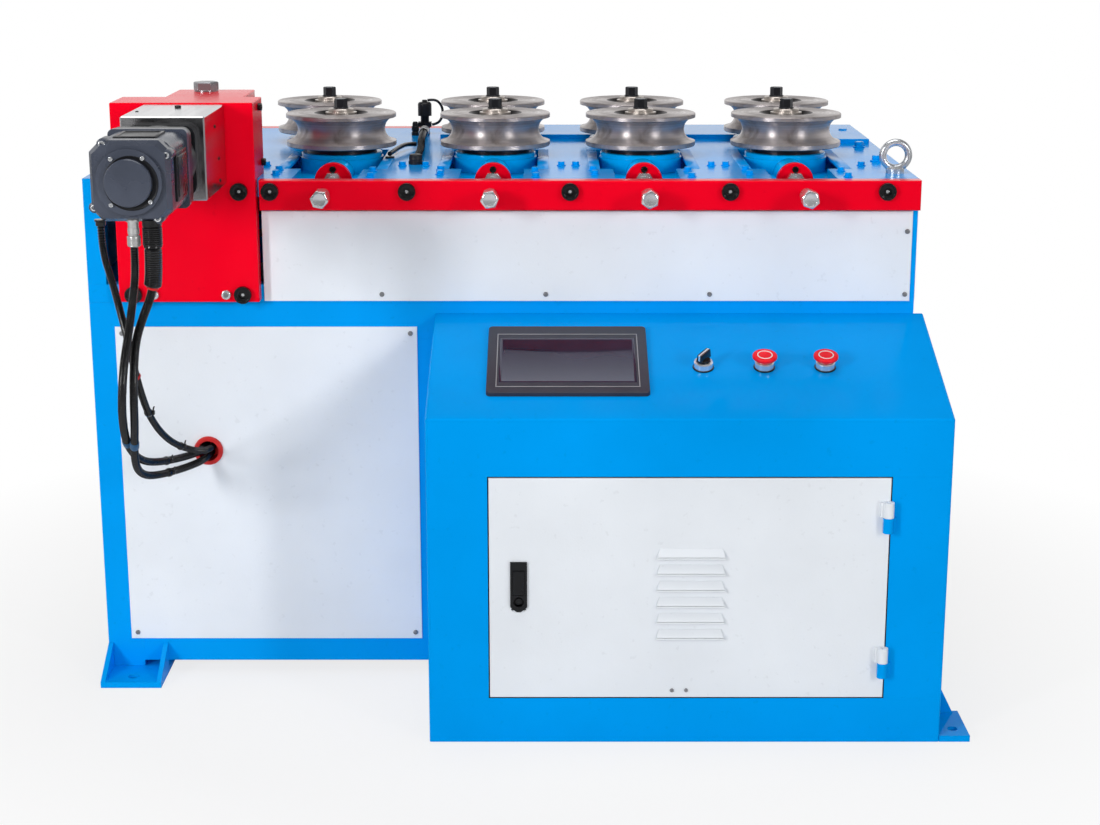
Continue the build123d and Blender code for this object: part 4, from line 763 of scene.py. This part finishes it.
# Plated hexagon heads of the adjusting screws, chamfered round
screw_head = drum("screw_head", (0, 0, 17.1), 25.4 / math.sqrt(3), 34.2, sides=6)
cone = turned("cone", (0, 0, 34.2), [(0, 0), (11.2, 0), (15.0, 2.2), (15.0, 36), (0, 36)])
carve(screw_head, cone, "INTERSECT")
choose(screw_head, "FACE", lambda spot, normal: normal.z > 0.95 and spot.z > 34)
inset(1.6)
push(0, 0, -0.4)
ease(screw_head, 0.25, 2)
for number, axis in enumerate(FRONT_AXES):
    spot = (axis, SCREW_SEAT, SCREW_Z)
    head = twin(screw_head, f"screw_head_{number + 1}", spot, FORWARD, spin=20 + 17 * number)
    dress(head, "zinc", f"screw_{number + 1}")
put_away(screw_head)

# Screws of the round red retainers, on the carriages
for number, axis in enumerate(FRONT_AXES):
    screws = [
        twin(small_socket, "screw", (axis + x, RETAINER_FACE, z), FORWARD, spin=20 * number, size=1.1)
        for x, z in ((0.0, SCREW_Z + 20.5), (17.7, SCREW_Z - 10.2), (-17.7, SCREW_Z - 10.2))
    ]
    dress(merge(f"retainer_screws_{number + 1}", screws), "black_bolt", f"carriage_{number + 1}")

# Drive head: ears of the motor's end bell, each with a bright screw
CAP_SCREW_R = 39.5
ear_screws = []
ears = []
for x, z in ((-36, 51), (51, 36), (36, -51), (-51, -36)):
    ear = drum("ear", (DRIVE_X + x, -622, DRIVE_Z + z), 8.0, 32, sides=24, along="Y")
    choose(ear, "FACE", lambda spot, normal: normal.y < -0.9)
    inset(1.2)
    push(0, -1.5, 0)
    ears.append(ease(ear, 1.2, 2))
    spot = (DRIVE_X + x, EAR_FACE, DRIVE_Z + z)
    ear_screws.append(twin(small_socket, "screw", spot, FORWARD, spin=x, size=0.95))
for angle in (125, 58, 231, 318):
    x, z = CAP_SCREW_R * math.cos(math.radians(angle)), CAP_SCREW_R * math.sin(math.radians(angle))
    spot = (DRIVE_X + x, CAP_FACE, DRIVE_Z + z)
    ear_screws.append(twin(small_socket, "screw", spot, FORWARD, spin=angle, size=0.62))
dress(merge("motor_ears", ears), "motor_paint")
dress(merge("motor_screws", ear_screws), "zinc")

# Lower screws of the drive head's flange
low_screws = [
    twin(small_socket, "screw", (LEFT + x, RAIL_FACE, FLANGE_LOW_Z), FORWARD, spin=x, size=1.5)
    for x in (112, 228)
]
dress(merge("flange_screws", low_screws), "zinc")

# A thin black ring on the motor's cap, set off to the right so that it shows as a crescent: painted shadow of
# the cap
cap_shadow_ring = drum("cap_shadow_ring", (DRIVE_X + 3.2, -650.9, DRIVE_Z - 1.0), 37.8, 1.6, sides=72, along="Y")
choose(cap_shadow_ring, "FACE", lambda spot, normal: normal.y < -0.9)
inset(1.2)
push(0, 0.6, 0)
dress(ease(cap_shadow_ring, 0.3, 2), "black_cast")

# Raised plates on the motor's body
plates = []
for side in (1, -1):
    near, far = sorted((DRIVE_X + 53.5 * side, DRIVE_X + 58.0 * side))
    plate = block("side_plate", (near, -600, 866), (far, -524, 934))
    choose(plate, "FACE", lambda spot, normal: normal.x * side > 0.9)
    inset(6.0)
    push(1.6 * side, 0, 0)
    plates.append(ease(plate, 1.0, 2))
top_plate = block("top_plate", (DRIVE_X - 30, -598, 953), (DRIVE_X + 30, -526, 957))
choose(top_plate, "FACE", lambda spot, normal: normal.z > 0.9)
inset(5.0)
push(0, 0, -1.4)
ease(top_plate, 0.8, 2)
dress(merge("motor_plates", [plates[0], top_plate, plates[1]]), "black_cast")

# Socket screws of the reducer, and the plugs of the adaptor block
big_socket = socket_screw("big_socket", 7.0, 8.0, 4.0)
drive_screws = [
    twin(big_socket, "screw", (DRIVE_X + x, REDUCER_FACE, DRIVE_Z + z), FORWARD, spin=x + z)
    for x, z in ((-39, 39), (39, 39), (39, -39), (-39, -39))
]
drive_screws.append(twin(small_socket, "screw", (DRIVE_X, -258, 962.6), size=1.0))
drive_screws.append(twin(small_socket, "screw", (DRIVE_X - 51, -321, 962.2), size=0.5))
for y, z in ((-300, 938), (-274, 886), (-269, 851), (-319, 850)):
    drive_screws.append(twin(small_socket, "screw", (ADAPTOR_SIDE, y, z), RIGHTWARD, size=0.55))
for y, z in ((-150, 953), (-128, 862)):
    drive_screws.append(twin(big_socket, "screw", (HOUSING_SIDE, y, z), RIGHTWARD, size=0.85))
dress(merge("drive_screws", drive_screws), "black_bolt")
put_away(big_socket)

# Connectors under the motor: a small lead entry, a plated coupling and a black plug
LEAD_Y, BELL_LOW = FRONT - 446.0, 844.0
entry = turned("entry", (DRIVE_X - 46, LEAD_Y, BELL_LOW + 2), [
    (0, 0), (8.5, 0), (8.5, 2.5), (7.0, 3.5), (7.0, 8.0), (6.3, 9.0), (0, 9.0),
])
plug_rings = [(0, 0), (13.4, 0), (13.4, 9), (12.2, 10.5)]
for ring in range(9):
    plug_rings += [(13.8, 11.5 + 2.8 * ring), (13.8, 13.0 + 2.8 * ring), (12.8, 13.6 + 2.8 * ring)]
plug_rings += [(13.2, 38.5), (11.5, 40.0), (0, 40.0)]
plug = turned("plug", (DRIVE_X + 25, LEAD_Y, BELL_LOW + 2), plug_rings)
dress(merge("lead_plugs", [entry, plug]), "cable_black")
coupling_rings = [(0, 0), (9.6, 0), (9.6, 3.0), (7.6, 3.8), (7.6, 12.0), (8.2, 12.6), (8.2, 20.0),
                  (7.2, 21.0), (7.2, 22.5), (9.0, 23.2)]
for ring in range(6):
    coupling_rings += [(9.4, 24.0 + 2.1 * ring), (9.4, 25.2 + 2.1 * ring), (8.8, 25.7 + 2.1 * ring)]
coupling_rings += [(9.0, 37.0), (7.4, 38.0), (0, 38.0)]
coupling = turned("lead_coupling", (DRIVE_X - 1, LEAD_Y, BELL_LOW + 2), coupling_rings)
dress(coupling, "connector_metal")
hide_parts("motor_connectors")


# Sleeves and ties on the cables
def band(name, cord, low, high, radius, slot, finish=None, ribs=0.0):
    """A sleeve along part of a cord, between two shares of its length."""
    points = cord_points[cord]
    part = points[int(low * len(points)):int(high * len(points)) + 1]
    radii = [radius / 1000 - (ribs / 1000 if number % 2 else 0.0) for number in range(len(part))]
    radii[0] *= 0.86
    radii[-1] *= 0.86
    on_cord[cord].append(dress(tube(name, part, radii, 20), slot, finish=finish))


tape_blue = moulded("tape_blue", (0.02, 0.09, 0.2), rough=0.35, grain=0.06)
band("shrink_sleeve", "motor_cable_3", 0.0, 0.092, 12.6, "cable_black", ribs=0.7)
band("sleeve_ring", "motor_cable_3", 0.094, 0.104, 8.6, "red_rubber")
band("red_tie", "motor_cable_1", 0.42, 0.427, 6.6, "red_rubber")
band("blue_tape_a", "motor_cable_2", 0.575, 0.592, 7.2, "cable_black", tape_blue)
band("blue_tape_b", "motor_cable_3", 0.58, 0.597, 7.2, "cable_black", tape_blue)
for label, cord, share in (
    ("zip_tie_a", "motor_cable_1", 0.566), ("zip_tie_b", "motor_cable_1", 0.795),
    ("zip_tie_c", "motor_cable_2", 0.81), ("zip_tie_d", "motor_cable_3", 0.828),
):
    reach = 6.6 if cord == "motor_cable_1" else 7.3
    band(label, cord, share, share + 0.008, reach, "cable_black")
    spot = cord_points[cord][int((share + 0.004) * len(cord_points[cord]))] * 1000
    near = spot + Vector((reach - 2, -3, -3))
    lump = block(label + "_lock", near, near + Vector((5, 6, 6)))
    choose(lump, "FACE", lambda place, normal: normal.z > 0.9)
    inset(1.4)
    push(2.0, -1.0, 7.0)
    on_cord[cord].append(dress(ease(lump, 0.5, 2), "cable_black"))
for name, (sleeve, thick, length, stiffness, lay) in cord_sleeves.items():
    line = [tuple(point) for point in cord_points[name]]

# Sensor fittings
rings = [
    drum("ring", (SENSOR_X, y, CONDUIT_Z), radius, length, sides=32, along="Y")
    for y, radius, length in ((432.0, 9.6, 9.0), (420.0, 8.7, 15.0), (405.5, 9.6, 14.0))
]
dress(merge("conduit_fitting", [ease(ring, 1.2, 3) for ring in rings]), "connector_metal")
gland_rings = [(0, 0), (3.4, 0), (4.6, 1.2), (5.6, 4.0), (5.6, 8.0), (7.2, 9.0), (7.2, 16.0), (6.2, 17.0),
               (6.2, 19.0), (7.4, 20.0), (7.4, 26.0), (0, 26.0)]
side_gland = turned("side_gland", (SENSOR_X - 17, 424, DECK + 26), gland_rings, 24)
dome_rings = [(0, 0), (5.0, 0.6), (9.0, 3.0), (11.2, 6.5), (11.4, 9.0), (10.4, 9.8), (10.4, 11.0),
              (12.2, 11.8), (12.2, 17.6), (0, 17.6)]
deck_gland = turned("deck_gland", (GLAND_X, GLAND_Y, DECK + 17.6), dome_rings, 24)
dress(merge("deck_glands", [side_gland, deck_gland]), "sensor_black")


# Console
def seat(piece, x, rise, lift=0.0, spin=0.0):
    """Put a piece that was modelled flat at the origin on the sloping desk."""
    place = Matrix.Translation(on_desk(x, rise, lift)) @ Matrix.Rotation(DESK_TILT, 4, "X")
    piece.data.transform(place @ Matrix.Rotation(math.radians(spin), 4, "Z"))
    return piece


def screen_glass():
    """Dark coated glass with faint smears."""
    finish, tree, place, shader = new_finish("screen_glass")
    noise = use_group(tree, surface_noise, Vector=place, Broad_scale=9.0, Fine_scale=160.0)
    tone = blend_colour(
        tree, spread(tree, noise["Broad"], 0.0, 1.0), (0.02, 0.018, 0.034, 1), (0.03, 0.027, 0.05, 1)
    )
    tree.links.new(tone, shader.inputs["Base Color"])
    tree.links.new(spread(tree, noise["Broad"], 0.03, 0.09), shader.inputs["Roughness"])
    shader.inputs["Specular IOR Level"].default_value = 0.6
    shader.inputs["Specular Tint"].default_value = (0.9, 0.82, 1.0, 1.0)
    return finish


glass = block("screen_glass", (-106.2, -65.7, 0), (106.2, 65.7, 0.9))
choose(glass, "FACE", lambda spot, normal: normal.z > 0.9)
inset(4.0)
push(0, 0, -0.25)
dress(seat(ease(glass, 0.2, 2), SCREEN_X, 158.0, 6.1), "screen_case", finish=screen_glass())

# Thin pale line round the screen
rest()
bpy.ops.mesh.primitive_plane_add(size=1.0)
line = take("screen_line")
line.data.transform(Matrix.Diagonal((*mm(222, 157), 1.0, 1.0)))
choose(line, "FACE", lambda spot, normal: True)
inset(1.5)
bpy.ops.mesh.delete(type="FACE")
give_wall(line, 0.7, 1.0)
line_grey = moulded("line_grey", (0.3, 0.3, 0.32), rough=0.4, grain=0.05)
dress(seat(ease(line, 0.15, 2), SCREEN_X, 157.5, 7.0), "screen_case", finish=line_grey)

# Selector: round foot, grip with a pale pointer strip
SELECTOR_SPIN = 55.0
foot = drum("foot", (0, 0, 14.0), 10.6, 3.4, sides=40)
ease(foot, 0.8, 3)
grip = block("grip", (-14, -5.0, 15.0), (14, 5.0, 28.0))
choose(grip, "FACE", lambda spot, normal: normal.z > 0.9)
bpy.ops.transform.resize(value=(0.94, 0.72, 1.0), center_override=(0, 0, 0.028))
inset(0.9)
push(0, 0, -0.5)
ease(grip, 0.9, 3)
knob = merge("selector_grip", [foot, grip])
dress(seat(knob, CONTROL_XS[0], CONTROL_RISE, 0.0, SELECTOR_SPIN), "knob_black", "selector")
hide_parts("selector_knob")
strip = block("pointer", (-13.2, -1.7, 27.2), (13.2, 1.7, 28.2))
choose(strip, "FACE", lambda spot, normal: normal.x < -0.9)
push(-0.9, 0, 0)
choose(strip, "FACE", lambda spot, normal: normal.z < -0.9 and spot.x < -12.9)
push(0, 0, -9.5)
dress(seat(ease(strip, 0.35, 2), CONTROL_XS[0], CONTROL_RISE, 0.0, SELECTOR_SPIN), "bezel_chrome", "selector")

# Black gaskets under the bezels
gaskets = []
for x in CONTROL_XS:
    gasket = drum("gasket", (0, 0, 0.7), 16.8, 1.4, sides=48)
    choose(gasket, "FACE", lambda spot, normal: normal.z > 0.9)
    inset(1.2)
    push(0, 0, 0.5)
    gaskets.append(seat(ease(gasket, 0.25, 2), x, CONTROL_RISE))
dress(merge("bezel_gaskets", gaskets), "knob_black")

# Pale ring on each mushroom button
ring_white = moulded("ring_white", (0.82, 0.8, 0.8), rough=0.3, grain=0.04)
for number, x in enumerate(CONTROL_XS[1:], 1):
    mark = drum("mark", (0, 0, 23.1), 12.0, 0.9, sides=48)
    choose(mark, "FACE", lambda spot, normal: abs(normal.z) > 0.9)
    bpy.ops.mesh.delete(type="FACE")
    give_wall(mark, 1.6, -1.0)
    dress(seat(ease(mark, 0.25, 2), x, CONTROL_RISE), "pale_paint", f"stop_{number}", ring_white)
    mark.name = f"stop_ring_{number}"

# Louvre hoods with slanted ends, over black strips: the open slots under the hoods, and painted shade on the
# door below each hood's lip
LOUVRE_X, HOOD_HALF, SLOT_HALF = 263.5, 53.0, 51.0
hoods = []
for step in range(LOUVRES):
    low = LOUVRE_LOW + LOUVRE_STEP * step
    near, far = (LOUVRE_X - HOOD_HALF, -487.3, low - 0.4), (LOUVRE_X + HOOD_HALF, DOOR_SKIN, low + 15.4)
    hood = block("hood", near, far)
    choose(hood, "FACE", lambda spot, normal: normal.z > 0.9)
    bpy.ops.transform.resize(value=(0.9, 0.1, 1.0), center_override=mm(LOUVRE_X, DOOR_SKIN, low))
    choose(hood, "FACE", lambda spot, normal: normal.z < -0.9)
    inset(1.2)
    push(0, 0, 3.0)
    hoods.append(ease(hood, 1.1, 3))
dress(merge("door_louvres", hoods), "pale_paint", "door")
# The black strips reach below the hoods' lips onto the door's face: painted shade under each hood.
slot_shades = []
for step in range(LOUVRES):
    low = LOUVRE_LOW + LOUVRE_STEP * step
    near, far = (LOUVRE_X - SLOT_HALF, -480.1, low - 2.8), (LOUVRE_X + SLOT_HALF, -479.2, low + 0.2)
    slot_shades.append(ease(block("slot", near, far), 0.25, 2))
dress(merge("louvre_slot_shade", slot_shades), "lock_black", "door")

# Black seal round the door's opening; its black also stands for the shade deep in the gap: painted shade
LIP_LEFT, LIP_RIGHT, LIP_LOW, LIP_HIGH = -46.9, 565.9, 73.1, 430.9
LIP_FACE, LIP_BACK = -479.2, -471.0
lips = [
    block("lip", (left, LIP_FACE, low), (right, LIP_BACK, high)) for left, right, low, high in (
        (LIP_LEFT, -45.9, LIP_LOW, LIP_HIGH), (564.8, LIP_RIGHT, LIP_LOW, LIP_HIGH),
        (LIP_LEFT, LIP_RIGHT, LIP_LOW, 74.2), (LIP_LEFT, LIP_RIGHT, 429.8, LIP_HIGH),
    )
]
dress(merge("door_seal_and_shade", [ease(lip, 0.3, 2) for lip in lips]), "cable_black")

# Small screws low on the door
door_screws = [
    twin(small_socket, "screw", (x, -479.3, 86.5), FORWARD, spin=15, size=0.62) for x in (237.0, 259.0)
]
dress(merge("door_screws", door_screws), "shaft_steel", "door")
put_away(small_socket, deck_bolt)


# Floor and light
rest()
bpy.ops.mesh.primitive_plane_add(size=16.0, location=(0.0, 0.0, -0.0004))
floor = bpy.context.object
floor.name = "studio_floor"
white, tree, place, shader = new_finish("studio_white")
noise = use_group(tree, surface_noise, Vector=place, Broad_scale=0.8, Fine_scale=60.0)
tree.links.new(
    blend_colour(tree, spread(tree, noise["Broad"], 0.0, 1.0), (0.68, 0.68, 0.68, 1), (0.72, 0.72, 0.72, 1)),
    shader.inputs["Base Color"],
)
shader.inputs["Roughness"].default_value = 0.6

# Plain white to the camera away from the machine, so that the floor has no end
ray = put(tree, "LightPath").outputs
away = put(tree, "VectorMath", {0: place}, operation="LENGTH").outputs["Value"]
plain = spread(tree, away, 0.78, 1.0, 0.75, 1.5)
share = put(tree, "Math", {0: ray["Is Camera Ray"], 1: plain}, operation="MULTIPLY")
glow = put(tree, "Emission", {"Color": (1, 1, 1, 1), "Strength": 1.0})
lit_floor = put(tree, "MixShader", {0: share.outputs[0], 1: shader.outputs[0], 2: glow.outputs[0]})
tree.links.new(lit_floor.outputs[0], tree.nodes["Material Output"].inputs["Surface"])
floor.data.materials.append(white)

# White room to the camera, a soft backdrop in mirrors, dim for everything else
world = bpy.data.worlds.new("studio")
room.world = world
world.use_nodes = True
tree = world.node_tree
ray = put(tree, "LightPath").outputs
heading = put(tree, "SeparateXYZ", {0: put(tree, "TexCoord").outputs["Generated"]}).outputs
behind = spread(tree, heading[1], 0.24, 1.0, -0.5, 0.5)
overhead = spread(tree, heading[2], 1.0, 0.14, 0.4, 0.7)
backdrop = put(tree, "Math", {0: behind, 1: overhead}, operation="MULTIPLY").outputs[0]
seen = put(tree, "Math", {0: ray["Is Glossy Ray"], 1: ray["Is Transmission Ray"]}, operation="MAXIMUM")
mirrored = put(tree, "Mix", {0: seen.outputs[0], 2: 0.2, 3: backdrop}, data_type="FLOAT")
level = put(tree, "Mix", {0: ray["Is Camera Ray"], 2: mirrored.outputs[0], 3: 1.0}, data_type="FLOAT")
sky = tree.nodes["Background"]
sky.inputs["Color"].default_value = (1, 1, 1, 1)
tree.links.new(level.outputs[0], sky.inputs["Strength"])


def softbox(name, place, aim, size, power):
    """A studio softbox that faces a point, its size in metres and its power in watts."""
    lamp = bpy.data.lights.new(name, "AREA")
    lamp.shape = "RECTANGLE"
    lamp.size, lamp.size_y = size
    lamp.energy = power
    stand = bpy.data.objects.new(name, lamp)
    stand.location = place
    stand.rotation_euler = (Vector(aim) - Vector(place)).to_track_quat("-Z", "Y").to_euler()
    room.collection.objects.link(stand)
    return stand


softbox("left_softbox", (-3.5, -4.3, 2.1), (0.0, 0.1, 0.7), size=(0.6, 1.4), power=122.0)
softbox("right_softbox", (3.6, -4.3, 2.1), (0.0, 0.1, 0.7), size=(0.45, 1.3), power=72.0)
front = softbox("front_softbox", (-0.3, -5.2, 1.9), (0.0, 0.1, 0.8), size=(1.6, 0.9), power=40.0)
front.visible_glossy = False
back = softbox("back_softbox", (0.6, 5.6, 1.8), (0.0, 0.1, 0.6), size=(2.6, 1.6), power=50.0)
back.visible_glossy = False
softbox("top_softbox", (0.0, -0.6, 4.4), (0.0, 0.1, 0.7), size=(3.0, 2.4), power=68.0)
